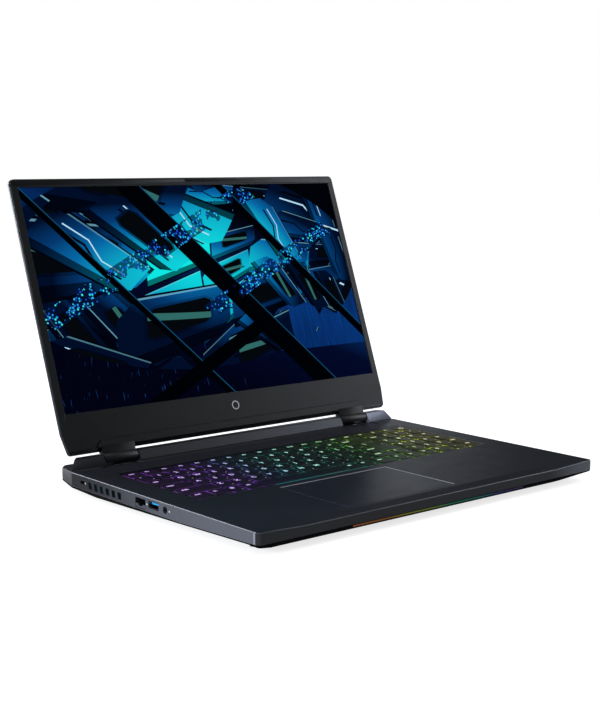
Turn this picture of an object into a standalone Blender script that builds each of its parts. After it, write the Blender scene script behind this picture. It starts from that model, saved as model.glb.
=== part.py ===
"""A 17.3 inch gaming laptop, open, as separate pieces.

Metres, +Z up. +X is the right-hand side of someone sitting at it, +Y points away from them.
The feet stand on z = 0, and the origin is under the middle of the open laptop's footprint.
Depths are measured from the base's front edge, and depth_to_y() turns one into Y.
The lid is modelled in its own plane, x across, s up from the hinge axis and t towards the
viewer, and a parent empty on the hinge axis leans it back to its resting angle.
"""

import math

import bmesh
import bpy
from mathutils import Matrix, Vector

MM = 0.001

# Driving dimensions
SCREEN_WIDTH, SCREEN_HEIGHT = 381.9 * MM, 214.8 * MM  # 17.3 inch, 16:9
BASE_HALF = 200 * MM
BASE_DEPTH = 304 * MM
DECK_DEPTH = 264.3 * MM  # where the palm rest cover ends and the exhaust housing starts
DECK_Z = 20 * MM
SIDE_PARTING_Z = 7.5 * MM
FRONT_PARTING_Z = 10.2 * MM
UNDERSIDE_Z = 2.5 * MM
GAP = 0.3 * MM

LID_ANGLE = math.radians(110.4)  # between the deck and the screen, at rest
HINGE_DEPTH, HINGE_Z = 275 * MM, 24 * MM
LID_HALF = 198.5 * MM
LID_FOOT = 9.6 * MM  # hinge axis to the lid's lower edge
LID_TOP = 269 * MM
LID_BACK, LID_FACE = -3.8 * MM, 3.2 * MM
SCREEN_FOOT = LID_FOOT + 36 * MM
LUG_INNER, LUG_OUTER = 125 * MM, 165 * MM
BARREL_RADIUS = 6 * MM

KEY_TOP_Z, KEY_BOTTOM_Z, KEY_WEB_Z = 20.1 * MM, 18.1 * MM, 18.7 * MM
KEY_GAP = 2.2 * MM
KEYBOARD_LEFT, KEYBOARD_RIGHT = -172.4 * MM, 179.2 * MM
KEYBOARD_NEAR, KEYBOARD_FAR = 112.7 * MM, 234.6 * MM
KEY_UNIT, ROW_PITCH, FUNCTION_PITCH = 18.4 * MM, 19.6 * MM, 18 * MM
NUMPAD_UNIT, NUMPAD_GAP = 17.5 * MM, 2.2 * MM

TOUCHPAD_LEFT, TOUCHPAD_RIGHT = -93.4 * MM, 30.3 * MM
TOUCHPAD_NEAR, TOUCHPAD_FAR = 17.1 * MM, 102 * MM

LID_TILT = math.pi - LID_ANGLE
OPEN_DEPTH = HINGE_DEPTH + LID_TOP * math.cos(LID_TILT) - LID_BACK * math.sin(LID_TILT)
FRONT_Y = -OPEN_DEPTH / 2

FINISHES = {  # base colour, metallic, roughness
    "deck_metal": ((0.055, 0.058, 0.068), 0.7, 0.42),
    "black_plastic": ((0.012, 0.012, 0.014), 0.0, 0.5),
    "housing_paint": ((0.05, 0.05, 0.055), 0.3, 0.45),
    "keycap": ((0.018, 0.018, 0.02), 0.0, 0.4),
    "touchpad_glass": ((0.05, 0.052, 0.06), 0.2, 0.35),
    "screen": ((0.01, 0.015, 0.03), 0.0, 0.15),
    "circuit_board": ((0.02, 0.09, 0.05), 0.0, 0.5),
    "bare_steel": ((0.55, 0.55, 0.57), 1.0, 0.35),
    "copper": ((0.72, 0.38, 0.22), 1.0, 0.3),
    "aluminium": ((0.7, 0.7, 0.72), 1.0, 0.35),
    "battery_wrap": ((0.03, 0.03, 0.035), 0.0, 0.5),
    "rubber": ((0.015, 0.015, 0.015), 0.0, 0.85),
    "light_guide": ((0.75, 0.78, 0.4), 0.0, 0.3),
    "blue_plastic": ((0.02, 0.25, 0.6), 0.0, 0.4),
}


# Tools

def clear_scene():
    for obj in list(bpy.data.objects):
        bpy.data.objects.remove(obj)


def new_collection(name):
    collection = bpy.data.collections.new(name)
    bpy.context.scene.collection.children.link(collection)
    return collection


def material(name, finish):
    made = bpy.data.materials.new(name)
    made.use_nodes = True
    shader = made.node_tree.nodes["Principled BSDF"]
    colour, metallic, roughness = FINISHES[finish]
    shader.inputs["Base Color"].default_value = (*colour, 1)
    shader.inputs["Metallic"].default_value = metallic
    shader.inputs["Roughness"].default_value = roughness
    return made


def depth_to_y(depth):
    return FRONT_Y + depth


def move_to(collection, obj):
    for other in list(obj.users_collection):
        other.objects.unlink(obj)
    collection.objects.link(obj)


def finished(obj, finish, parent=None):
    """Puts a piece in the laptop's collection with a material of its own, and under its parent."""
    move_to(LAPTOP, obj)
    obj.data.materials.clear()
    obj.data.materials.append(material(obj.name, finish))
    obj.data.shade_smooth()
    obj.data.set_sharp_from_angle(angle=math.radians(30))
    obj.parent = parent
    return obj


def mesh_object(name, mesh):
    obj = bpy.data.objects.new(name, mesh)
    bpy.context.scene.collection.objects.link(obj)
    return obj


def box(name, x, y, z):
    """A box between three pairs of limits, with its origin in its middle."""
    mesh = bpy.data.meshes.new(name)
    made = bmesh.new()
    bmesh.ops.create_cube(made, size=1)
    size = [high - low for low, high in (x, y, z)]
    bmesh.ops.scale(made, verts=made.verts, vec=size)
    made.to_mesh(mesh)
    made.free()
    obj = mesh_object(name, mesh)
    obj.location = [(high + low) / 2 for low, high in (x, y, z)]
    return obj


def cylinder(name, start, end, radius, segments=24):
    """A round bar between two points."""
    start, end = Vector(start), Vector(end)
    mesh = bpy.data.meshes.new(name)
    made = bmesh.new()
    bmesh.ops.create_cone(
        made, cap_ends=True, segments=segments, radius1=radius, radius2=radius, depth=(end - start).length
    )
    made.to_mesh(mesh)
    made.free()
    obj = mesh_object(name, mesh)
    obj.location = (start + end) / 2
    obj.rotation_euler = (end - start).to_track_quat("Z", "Y").to_euler()
    return obj


def with_origin_at(obj, origin):
    """Moves an unturned object's origin and leaves its shape where it is."""
    obj.data.transform(Matrix.Translation(obj.location - Vector(origin)))
    obj.location = origin
    return obj


def to_mesh(curve):
    """The curve object as a mesh with its caps welded, in the curve's place. The curve is removed."""
    bpy.context.view_layer.update()
    evaluated = curve.evaluated_get(bpy.context.evaluated_depsgraph_get())
    mesh = bpy.data.meshes.new_from_object(evaluated)
    made = bmesh.new()
    made.from_mesh(mesh)
    bmesh.ops.remove_doubles(made, verts=made.verts, dist=0.00001)
    bmesh.ops.recalc_face_normals(made, faces=made.faces)
    made.to_mesh(mesh)
    made.free()
    name, place = curve.name, curve.matrix_world.copy()
    bpy.data.objects.remove(curve)
    obj = mesh_object(name, mesh)
    obj.matrix_world = place
    return obj


def plate(name, outlines, low, high):
    """A flat plate between two heights. The first outline is its edge, and the others are its holes."""
    curve = bpy.data.curves.new(name, "CURVE")
    curve.dimensions = "2D"
    curve.fill_mode = "BOTH"
    curve.extrude = (high - low) / 2
    for points in outlines:
        spline = curve.splines.new("POLY")
        spline.points.add(len(points) - 1)
        for point, (x, y) in zip(spline.points, points):
            point.co = (x, y, 0, 1)
        spline.use_cyclic_u = True
    obj = bpy.data.objects.new(name, curve)
    bpy.context.scene.collection.objects.link(obj)
    obj.location.z = (low + high) / 2
    return to_mesh(obj)


def extruded_in_x(name, outlines, low, high):
    """A solid with an outline drawn in (Y, Z) between two X limits."""
    half = (high - low) / 2
    obj = plate(name, outlines, -half, half)
    obj.rotation_euler = (math.pi / 2, 0, math.pi / 2)
    obj.location.x = (low + high) / 2
    return obj


def extruded_in_y(name, outlines, low, high):
    """A solid with an outline drawn in (X, Z) between two Y limits."""
    half = (high - low) / 2
    obj = plate(name, outlines, -half, half)
    obj.rotation_euler.x = math.pi / 2
    obj.location.y = (low + high) / 2
    return obj


def shell(name, rings, thickness, open_last=False):
    """An open tray through rings of points, closed by a face on the first ring and thickened inwards.

    open_last leaves out the wall between each ring's last point and its first."""
    mesh = bpy.data.meshes.new(name)
    made = bmesh.new()
    loops = [[made.verts.new(point) for point in ring] for ring in rings]
    count = len(rings[0])
    made.faces.new(loops[0])
    for upper, lower in zip(loops, loops[1:]):
        for i in range(count - 1 if open_last else count):
            j = (i + 1) % count
            made.faces.new((upper[i], lower[i], lower[j], upper[j]))
    bmesh.ops.recalc_face_normals(made, faces=made.faces)
    made.to_mesh(mesh)
    made.free()
    obj = mesh_object(name, mesh)
    # The cap faces away from the other rings, whichever way they run.
    cap = mesh.polygons[0]
    if cap.normal.dot(Vector(rings[0][0]) - Vector(rings[-1][0])) < 0:
        mesh.flip_normals()
    solidify = obj.modifiers.new("wall", "SOLIDIFY")
    solidify.thickness = thickness
    solidify.offset = -1
    solidify.use_even_offset = True
    solidify.use_quality_normals = True
    return obj


def combine(obj, others, operation):
    """Cuts the others from obj, or joins them to it. They follow it, and stay as guides among the cutters."""
    bpy.context.view_layer.update()
    for other in others:
        move_to(CUTTERS, other)
        other.name = f"{obj.name}_{other.name}"
        other.hide_render = True
        other.display_type = "WIRE"
        other.parent = obj
        other.matrix_parent_inverse = obj.matrix_world.inverted()
        boolean = obj.modifiers.new(operation.lower(), "BOOLEAN")
        boolean.operation = operation
        boolean.object = other
    return obj


def cut(obj, *cutters):
    return combine(obj, cutters, "DIFFERENCE")


def join(obj, *others):
    return combine(obj, others, "UNION")


def both_sides(low, high):
    """The X limits of a feature on the left and of its twin on the right."""
    return {"left": (-high, -low), "right": (low, high)}


def arc(centre, radius, start, end, steps):
    return [
        (
            centre[0] + radius * math.cos(math.radians(start + (end - start) * i / steps)),
            centre[1] + radius * math.sin(math.radians(start + (end - start) * i / steps)),
        )
        for i in range(steps + 1)
    ]


# Base covers

CORNER_STEPS = 3
TAPER_DEPTH = 60 * MM  # the side wall gets shallower from here to the front
REAR_SHOULDER, REAR_CORNER = (192 * MM, 294 * MM), (184 * MM, BASE_DEPTH)


def parting_z(depth):
    """Height of the line between the upper and lower covers."""
    share = max(0.0, 1 - depth / TAPER_DEPTH)
    return SIDE_PARTING_Z + (FRONT_PARTING_Z - SIDE_PARTING_Z) * share


def front_outline(half, near, radius):
    """The base's edge in plan from the left side, round the front, to the right side, as (x, depth)."""
    left = arc((-half + radius, near + radius), radius, 180, 270, CORNER_STEPS)
    right = arc((half - radius, near + radius), radius, 270, 360, CORNER_STEPS)
    return [(-half, TAPER_DEPTH), *left, *right, (half, TAPER_DEPTH)]


def raised(outline, height):
    """An outline's points in space. height is a number or a function of depth."""
    return [(x, depth_to_y(d), height(d) if callable(height) else height) for x, d in outline]


LIP_DEPTH, LIP_DROP, EDGE_BREAK = 10 * MM, 1.8 * MM, 0.9 * MM
COVER_WALL = 1.8 * MM
STRIP_RECESS_NEAR, STRIP_RECESS_FAR, STRIP_RECESS_DROP = 254.7 * MM, 266.2 * MM, 0.9 * MM

VENT_COUNT, VENT_PITCH, VENT_WIDTH = 6, 9.2 * MM, 5.4 * MM
VENT_REAR, VENT_LOW, VENT_HIGH, VENT_LEAN = 233.4 * MM, 10 * MM, 16 * MM, 1.2 * MM
USB_SIZE, SOCKET_MARGIN = (14 * MM, 5.8 * MM), 0.35 * MM
USB_Z = 14.4 * MM
USB_DEPTHS = {"usb_socket_left": 137.4 * MM, "usb_socket_right_rear": 158 * MM, "usb_socket_right_front": 134 * MM}
AUDIO_DEPTH, AUDIO_Z = 121 * MM, 14 * MM
JACK_NEAR, JACK_FAR, JACK_LOW, JACK_HIGH = 149.6 * MM, 163.6 * MM, 8.8 * MM, 16.8 * MM
LOCK_DEPTH, LOCK_Z = 246.5 * MM, 14 * MM


def side_vents(side):
    """Cutters for the row of leaning vent slots in one side wall."""
    for i in range(VENT_COUNT):
        depth = VENT_REAR - i * VENT_PITCH
        near, far = depth - VENT_WIDTH / 2, depth + VENT_WIDTH / 2
        outline = [
            (depth_to_y(near), VENT_LOW),
            (depth_to_y(far), VENT_LOW),
            (depth_to_y(far + VENT_LEAN), VENT_HIGH),
            (depth_to_y(near + VENT_LEAN), VENT_HIGH),
        ]
        x = side * BASE_HALF
        yield extruded_in_x("vent_cutter", [outline], x - 4 * MM, x + 4 * MM)


def wall_hole(side, depth, height, size):
    """A cutter through a side wall, for a socket of the given width and height."""
    x = sorted((side * (BASE_HALF - 4 * MM), side * (BASE_HALF + 4 * MM)))
    half_width, half_height = size[0] / 2 + SOCKET_MARGIN, size[1] / 2 + SOCKET_MARGIN
    y = depth_to_y(depth)
    return box("socket_hole", x, (y - half_width, y + half_width), (height - half_height, height + half_height))


def strip_recess():
    """A cutter for the shallow recess that takes the lid's strip when the lid is closed."""
    return box(
        "strip_recess",
        (-LUG_OUTER - 5 * MM, LUG_OUTER + 5 * MM),
        (depth_to_y(STRIP_RECESS_NEAR), depth_to_y(STRIP_RECESS_FAR)),
        (DECK_Z - STRIP_RECESS_DROP, DECK_Z + 4 * MM),
    )


def palm_rest_deck():
    top = [*front_outline(BASE_HALF - EDGE_BREAK, LIP_DEPTH, 2 * MM), (BASE_HALF - EDGE_BREAK, DECK_DEPTH)]
    edge = [*front_outline(BASE_HALF, 0, 4 * MM), (BASE_HALF, DECK_DEPTH)]
    rings = []
    for outline, height in (
        (top, DECK_Z),
        (edge, lambda d: DECK_Z - (LIP_DROP if d < LIP_DEPTH else EDGE_BREAK)),
        (edge, parting_z),
    ):
        rings.append(raised([(-outline[-1][0], DECK_DEPTH), *outline][::-1], height))
    deck = shell("palm_rest_deck", rings, COVER_WALL, open_last=True)
    through = (DECK_Z - 8 * MM, DECK_Z + 4 * MM)
    openings = [
        box(
            "keyboard_opening",
            (KEYBOARD_LEFT, KEYBOARD_RIGHT),
            (depth_to_y(KEYBOARD_NEAR), depth_to_y(KEYBOARD_FAR)),
            through,
        ),
        box(
            "touchpad_opening",
            (TOUCHPAD_LEFT - GAP, TOUCHPAD_RIGHT + GAP),
            (depth_to_y(TOUCHPAD_NEAR - GAP), depth_to_y(TOUCHPAD_FAR + GAP)),
            through,
        ),
        strip_recess(),
    ]
    for name, depth in USB_DEPTHS.items():
        openings.append(wall_hole(-1 if "left" in name else 1, depth, USB_Z, USB_SIZE))
    jack_middle, jack_height = (JACK_NEAR + JACK_FAR) / 2, (JACK_LOW + JACK_HIGH) / 2
    jack_size = (JACK_FAR - JACK_NEAR, JACK_HIGH - JACK_LOW)
    openings.append(wall_hole(-1, jack_middle, jack_height, jack_size))
    openings.append(wall_hole(-1, LOCK_DEPTH, LOCK_Z, (6.3 * MM, 2.3 * MM)))
    y = depth_to_y(AUDIO_DEPTH)
    openings.append(
        cylinder("audio_hole", (-BASE_HALF - 4 * MM, y, AUDIO_Z), (-BASE_HALF + 4 * MM, y, AUDIO_Z), 3.1 * MM)
    )
    for side in (-1, 1):
        openings.extend(side_vents(side))
    cut(deck, *openings)
    return finished(deck, "deck_metal")


UNDER_INSET, UNDER_FRONT_INSET, UNDER_REAR_INSET = 22 * MM, 27 * MM, 14 * MM
UNDER_WALL, UNDER_BAND = 1.3 * MM, 2.4 * MM
LIGHT_BAR_HALF = 103 * MM
LIGHT_BAR_LOW, LIGHT_BAR_HIGH = 7.0 * MM, 9.2 * MM
FAN_X, FAN_DEPTH = 135 * MM, 193 * MM
SLOT_COUNT, SLOT_PITCH, SLOT_HALF_LENGTH = 9, 7 * MM, 30 * MM


def bottom_cover():
    shoulder_x, shoulder_depth = REAR_SHOULDER
    corner_x, corner_depth = REAR_CORNER
    rear = [(BASE_HALF, DECK_DEPTH), (shoulder_x, shoulder_depth), (corner_x, corner_depth)]
    left_rear = [(-x, d) for x, d in reversed(rear)]
    rim = [*left_rear, *front_outline(BASE_HALF, 0.8 * MM, 3.6 * MM), *rear]
    flat = []
    for x, d in rim:
        inset_x = math.copysign(min(abs(x), BASE_HALF) - UNDER_INSET, x)
        flat.append((inset_x, min(max(d, UNDER_FRONT_INSET), BASE_DEPTH - UNDER_REAR_INSET)))
    # The rounded front corners shrink to rounded inner ones.
    first, last = len(left_rear) + 1, len(left_rear) + 2 * (CORNER_STEPS + 1)
    flat[first : last + 1] = front_outline(BASE_HALF - UNDER_INSET, UNDER_FRONT_INSET, 10 * MM)[1:-1]
    rings = [
        raised(flat, UNDERSIDE_Z),
        raised(rim, lambda d: parting_z(d) - UNDER_BAND - 1.6 * MM * max(0, 1 - d / TAPER_DEPTH)),
        raised(rim, lambda d: parting_z(d) - 1.4 * GAP),
    ]
    cover = shell("bottom_cover", rings, UNDER_WALL)
    cutters = [
        box(
            "light_bar_window",
            (-LIGHT_BAR_HALF - GAP, LIGHT_BAR_HALF + GAP),
            (depth_to_y(-2 * MM), depth_to_y(8 * MM)),
            (LIGHT_BAR_LOW - GAP, LIGHT_BAR_HIGH + GAP),
        )
    ]
    for side in (-1, 1):
        for i in range(SLOT_COUNT):
            y = depth_to_y(FAN_DEPTH + (i - (SLOT_COUNT - 1) / 2) * SLOT_PITCH)
            middle = side * FAN_X
            cutters.append(
                box(
                    "intake_slot",
                    (middle - SLOT_HALF_LENGTH, middle + SLOT_HALF_LENGTH),
                    (y - 1.6 * MM, y + 1.6 * MM),
                    (UNDERSIDE_Z - 2 * MM, UNDERSIDE_Z + 4 * MM),
                )
            )
    cut(cover, *cutters)
    return finished(cover, "black_plastic")


HOUSING_WALL = 1.6 * MM
NOTCH_MARGIN, NOTCH_FAR = 1.3 * MM, 283.5 * MM
GRILLE_INNER, GRILLE_SLOTS, GRILLE_PITCH, GRILLE_SLOT = 92 * MM, 9, 9.4 * MM, 7.4 * MM
GRILLE_LOW, GRILLE_HIGH = 9.8 * MM, 17.2 * MM
REAR_SOCKET_Z = 13.4 * MM
REAR_SOCKETS = {  # node: (x, width, height)
    "hdmi_socket": (-30 * MM, 15 * MM, 5.4 * MM),
    "usb_c_socket": (-3 * MM, 9.4 * MM, 3.6 * MM),
}
POWER_INLET_X, POWER_INLET_RADIUS = 28 * MM, 3.6 * MM
KNUCKLE = (168 * MM, 173.5 * MM)


def lug_notches(low, high, far=NOTCH_FAR):
    """Cutters for the gaps that the lid's hinge barrels turn in."""
    for x in both_sides(LUG_INNER - NOTCH_MARGIN, LUG_OUTER + NOTCH_MARGIN).values():
        yield box("lug_notch", x, (depth_to_y(DECK_DEPTH - 8 * MM), depth_to_y(far)), (low, high))


def exhaust_housing():
    near = DECK_DEPTH + GAP
    half = [(BASE_HALF, near), REAR_SHOULDER, REAR_CORNER]
    outline = [*half, *[(-x, d) for x, d in reversed(half)]]
    inner = [(x - math.copysign(EDGE_BREAK, x), d if d == near else d - EDGE_BREAK) for x, d in outline]
    rings = [raised(inner, DECK_Z), raised(outline, DECK_Z - EDGE_BREAK), raised(outline, SIDE_PARTING_Z)]
    housing = shell("exhaust_housing", rings, HOUSING_WALL, open_last=True)
    # The slanting side walls' front ends are trimmed square.
    ahead = box("ahead", (-BASE_HALF - 5 * MM, BASE_HALF + 5 * MM), (depth_to_y(near - 5 * MM), depth_to_y(near)), (0, 30 * MM))
    cutters = [ahead, strip_recess(), *lug_notches(DECK_Z - 5 * MM, DECK_Z + 5 * MM)]
    for x in both_sides(KNUCKLE[0] - 1 * MM, KNUCKLE[1] + 1 * MM).values():
        cutters.append(
            box(
                "bracket_hole",
                x,
                (depth_to_y(HINGE_DEPTH - 4.5 * MM), depth_to_y(HINGE_DEPTH + 4.5 * MM)),
                (DECK_Z - 5 * MM, DECK_Z + 5 * MM),
            )
        )
    rear_wall = (depth_to_y(BASE_DEPTH - 4 * MM), depth_to_y(BASE_DEPTH + 4 * MM))
    for side in (-1, 1):
        for i in range(GRILLE_SLOTS):
            inner = GRILLE_INNER + i * GRILLE_PITCH
            x = sorted((side * inner, side * (inner + GRILLE_SLOT)))
            cutters.append(box("grille_slot", x, rear_wall, (GRILLE_LOW, GRILLE_HIGH)))
    for x, width, height in REAR_SOCKETS.values():
        half_width, half_height = width / 2 + SOCKET_MARGIN, height / 2 + SOCKET_MARGIN
        cutters.append(
            box(
                "rear_socket_hole",
                (x - half_width, x + half_width),
                rear_wall,
                (REAR_SOCKET_Z - half_height, REAR_SOCKET_Z + half_height),
            )
        )
    cutters.append(
        cylinder(
            "power_inlet_hole",
            (POWER_INLET_X, rear_wall[0], REAR_SOCKET_Z),
            (POWER_INLET_X, rear_wall[1], REAR_SOCKET_Z),
            POWER_INLET_RADIUS + SOCKET_MARGIN,
        )
    )
    cut(housing, *cutters)
    return finished(housing, "housing_paint")


RIDGE_TOP_Z, RIDGE_WALL = 29 * MM, 1.2 * MM


def hinge_ridge():
    """The raised strip behind the keyboard, with a gap for each hinge barrel."""
    low_half, high_half = 197.5 * MM, 190.5 * MM
    near, far = 266.3 * MM, 291 * MM
    top_near, top_far = 271 * MM, 279 * MM
    base = [(-low_half, near), (low_half, near), (low_half, far), (-low_half, far)]
    top = [(-high_half, top_near), (high_half, top_near), (high_half, top_far), (-high_half, top_far)]
    ridge = shell("hinge_ridge", [raised(top, RIDGE_TOP_Z), raised(base, DECK_Z)], RIDGE_WALL)
    # The sloping walls' lower rims are trimmed level, just clear of the housing.
    below = box(
        "below", (-BASE_HALF, BASE_HALF), (depth_to_y(near - 9 * MM), depth_to_y(far + 9 * MM)), (0, DECK_Z + GAP)
    )
    cut(ridge, below, *lug_notches(DECK_Z - 2 * MM, RIDGE_TOP_Z + 5 * MM))
    return finished(ridge, "deck_metal")


# Inside the base

def simple_box(name, x, depths, z, finish):
    return finished(box(name, x, [depth_to_y(d) for d in depths], z), finish)


FAN_HALF, FAN_LOW, FAN_HIGH = 42 * MM, 4.6 * MM, 14.2 * MM
FAN_WALL, FAN_EYE = 1 * MM, 29 * MM
ROTOR_HUB, ROTOR_TIP, ROTOR_BLADES = 13 * MM, 37 * MM, 21


def fan_housing(name, x):
    y = depth_to_y(FAN_DEPTH)
    half = FAN_HALF
    case = box(name, (x - half, x + half), (y - half, y + half), (FAN_LOW, FAN_HIGH))
    cavity = cylinder("cavity", (x, y, FAN_LOW + FAN_WALL), (x, y, FAN_HIGH - FAN_WALL), half - 1.6 * MM, 40)
    outlet = box(
        "outlet", (x - half * 0.8, x + half * 0.8), (y, y + half + 2 * MM), (FAN_LOW + FAN_WALL, FAN_HIGH - FAN_WALL)
    )
    eye = cylinder("eye", (x, y, FAN_LOW - 2 * MM), (x, y, FAN_LOW + 3 * MM), FAN_EYE, 40)
    cut(case, cavity, outlet, eye)
    return finished(case, "black_plastic")


def fan_rotor(name, x, turn):
    """A blower wheel: a star of swept blades round a hub, spinning about its own vertical axis."""
    points = []
    for i in range(ROTOR_BLADES):
        start = 2 * math.pi * i / ROTOR_BLADES
        for radius, lag in (
            (ROTOR_HUB, 0.0),
            (0.75 * ROTOR_TIP, 0.16),
            (ROTOR_TIP, 0.34),
            (ROTOR_TIP, 0.385),
            (0.75 * ROTOR_TIP, 0.21),
            (ROTOR_HUB, 0.11),
        ):
            angle = turn * (start + lag)
            points.append((radius * math.cos(angle), radius * math.sin(angle)))
    wheel = plate(name, [points], 0, 6.2 * MM)
    wheel.location = (x, depth_to_y(FAN_DEPTH), (FAN_LOW + FAN_HIGH) / 2)
    return finished(wheel, "black_plastic")


def fin_stack(name, x):
    """A block of upright cooling fins on one spine."""
    low, high = x
    pitch, fin = 2.8 * MM, 0.8 * MM
    count = round((high - low) / pitch)
    points = [(low, 0), (low + (count - 1) * pitch + fin, 0)]
    for i in reversed(range(count)):
        left = low + i * pitch
        points.extend([(left + fin, 9 * MM), (left, 9 * MM)])
        if i:
            points.extend([(left, 1 * MM), (left - pitch + fin, 1 * MM)])
    points = [(x, 7 * MM + z) for x, z in points]
    stack = extruded_in_y(name, [points], depth_to_y(270.5 * MM), depth_to_y(294.5 * MM))
    return finished(stack, "aluminium")


def heat_pipe(name, side):
    """A round pipe from over the cold plate to the front of a fin stack."""
    route = [
        (18, 205), (40, 212), (58, 226), (72, 242), (88, 254), (106, 261), (126, 265), (146, 266.5),
    ]
    curve = bpy.data.curves.new(name, "CURVE")
    curve.dimensions = "3D"
    curve.bevel_depth = 2.2 * MM
    curve.bevel_resolution = 2
    curve.use_fill_caps = True
    spline = curve.splines.new("POLY")
    spline.points.add(len(route) - 1)
    for point, (x, d) in zip(spline.points, route):
        point.co = (side * x * MM, depth_to_y(d * MM), 7.6 * MM, 1)
    pipe = bpy.data.objects.new(name, curve)
    bpy.context.scene.collection.objects.link(pipe)
    return finished(to_mesh(pipe), "copper")


def socket(name, size, length, tongue_z, tongue_finish, place, turn):
    """A sheet metal socket: a tube that is shut at the back, with a tongue inside.

    It is made with its mouth on the XZ plane facing -Y, then turned about Z and put in place."""
    width, height = size
    wall = 0.45 * MM
    tube = box(name, (-width / 2, width / 2), (0, length), (-height / 2, height / 2))
    with_origin_at(tube, (0, 0, 0))
    inside = box(
        "inside",
        (-width / 2 + wall, width / 2 - wall),
        (-2 * MM, length - 1 * MM),
        (-height / 2 + wall, height / 2 - wall),
    )
    cut(tube, inside)
    tongue = box(
        "tongue",
        (-width / 2 + 1.3 * MM, width / 2 - 1.3 * MM),
        (2.4 * MM, length - 0.5 * MM),
        (tongue_z - 0.7 * MM, tongue_z + 0.7 * MM),
    )
    join(tube, tongue)
    tube.location = place
    tube.rotation_euler.z = turn
    return finished(tube, tongue_finish)


def ethernet_jack():
    """The network socket's body, open to the left, behind its drop jaw."""
    x = (-BASE_HALF + 2.4 * MM, -BASE_HALF + 18 * MM)
    jack = box(
        "ethernet_jack",
        x,
        (depth_to_y(JACK_NEAR - 1.2 * MM), depth_to_y(JACK_FAR + 1.2 * MM)),
        (JACK_LOW - 0.1 * MM, DECK_Z - COVER_WALL - 0.5 * MM),
    )
    inside = box(
        "inside",
        (x[0] - 2 * MM, x[1] - 2 * MM),
        (depth_to_y(JACK_NEAR), depth_to_y(JACK_FAR)),
        (JACK_LOW + 0.5 * MM, JACK_HIGH),
    )
    cut(jack, inside)
    return finished(jack, "black_plastic")


JAW_HIGH = 12 * MM
JAW_PIVOT = (-BASE_HALF + 0.7 * MM, JACK_LOW + 0.95 * MM)


def ethernet_jaw():
    """The sprung lower jaw of the network socket, hinged along its lower edge."""
    near, far = JACK_NEAR + 0.1 * MM, JACK_FAR - 0.1 * MM
    jaw = box(
        "ethernet_jaw",
        (-0.7 * MM, 0.6 * MM),
        (near - far, 0),
        (-0.65 * MM, JAW_HIGH - JAW_PIVOT[1]),
    )
    with_origin_at(jaw, (0, 0, 0))
    middle = (near - far) / 2
    notch = box("notch", (-3 * MM, 3 * MM), (middle - 3 * MM, middle + 3 * MM), (0.8 * MM, 9 * MM))
    cut(jaw, notch)
    jaw.location = (JAW_PIVOT[0], depth_to_y(far), JAW_PIVOT[1])
    return finished(jaw, "deck_metal")


def audio_jack():
    y = depth_to_y(AUDIO_DEPTH)
    body = box(
        "audio_jack",
        (-BASE_HALF + 2.2 * MM, -BASE_HALF + 15 * MM),
        (y - 3.4 * MM, y + 3.4 * MM),
        (AUDIO_Z - 3.4 * MM, AUDIO_Z + 3.4 * MM),
    )
    mouth = -BASE_HALF + 0.3 * MM
    join(body, cylinder("collar", (mouth, y, AUDIO_Z), (mouth + 5 * MM, y, AUDIO_Z), 2.75 * MM))
    cut(body, cylinder("bore", (mouth - 2 * MM, y, AUDIO_Z), (mouth + 13 * MM, y, AUDIO_Z), 1.85 * MM))
    return finished(body, "black_plastic")


def power_inlet():
    wall = depth_to_y(BASE_DEPTH)
    body = cylinder(
        "power_inlet",
        (POWER_INLET_X, wall - 12 * MM, REAR_SOCKET_Z),
        (POWER_INLET_X, wall - 0.4 * MM, REAR_SOCKET_Z),
        POWER_INLET_RADIUS,
    )
    hole = cylinder(
        "hole",
        (POWER_INLET_X, wall - 10.5 * MM, REAR_SOCKET_Z),
        (POWER_INLET_X, wall + 2 * MM, REAR_SOCKET_Z),
        POWER_INLET_RADIUS - 0.8 * MM,
    )
    cut(body, hole)
    pin = cylinder(
        "pin", (POWER_INLET_X, wall - 11 * MM, REAR_SOCKET_Z), (POWER_INLET_X, wall - 3 * MM, REAR_SOCKET_Z), 0.8 * MM, 12
    )
    return finished(join(body, pin), "black_plastic")


def memory_modules():
    """Two memory boards, one over the other, in one double socket."""
    depths = [depth_to_y(d * MM) for d in (118, 122)]
    stack = box("memory_modules", (-72 * MM, -2 * MM), depths, (4.8 * MM, 12.4 * MM))
    for low in (5.6, 9.2):
        board = box(
            "board",
            (-71 * MM, -3 * MM),
            (depth_to_y(121 * MM), depth_to_y(148 * MM)),
            (low * MM, (low + 1.2) * MM),
        )
        join(stack, board)
    return finished(stack, "circuit_board")


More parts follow.
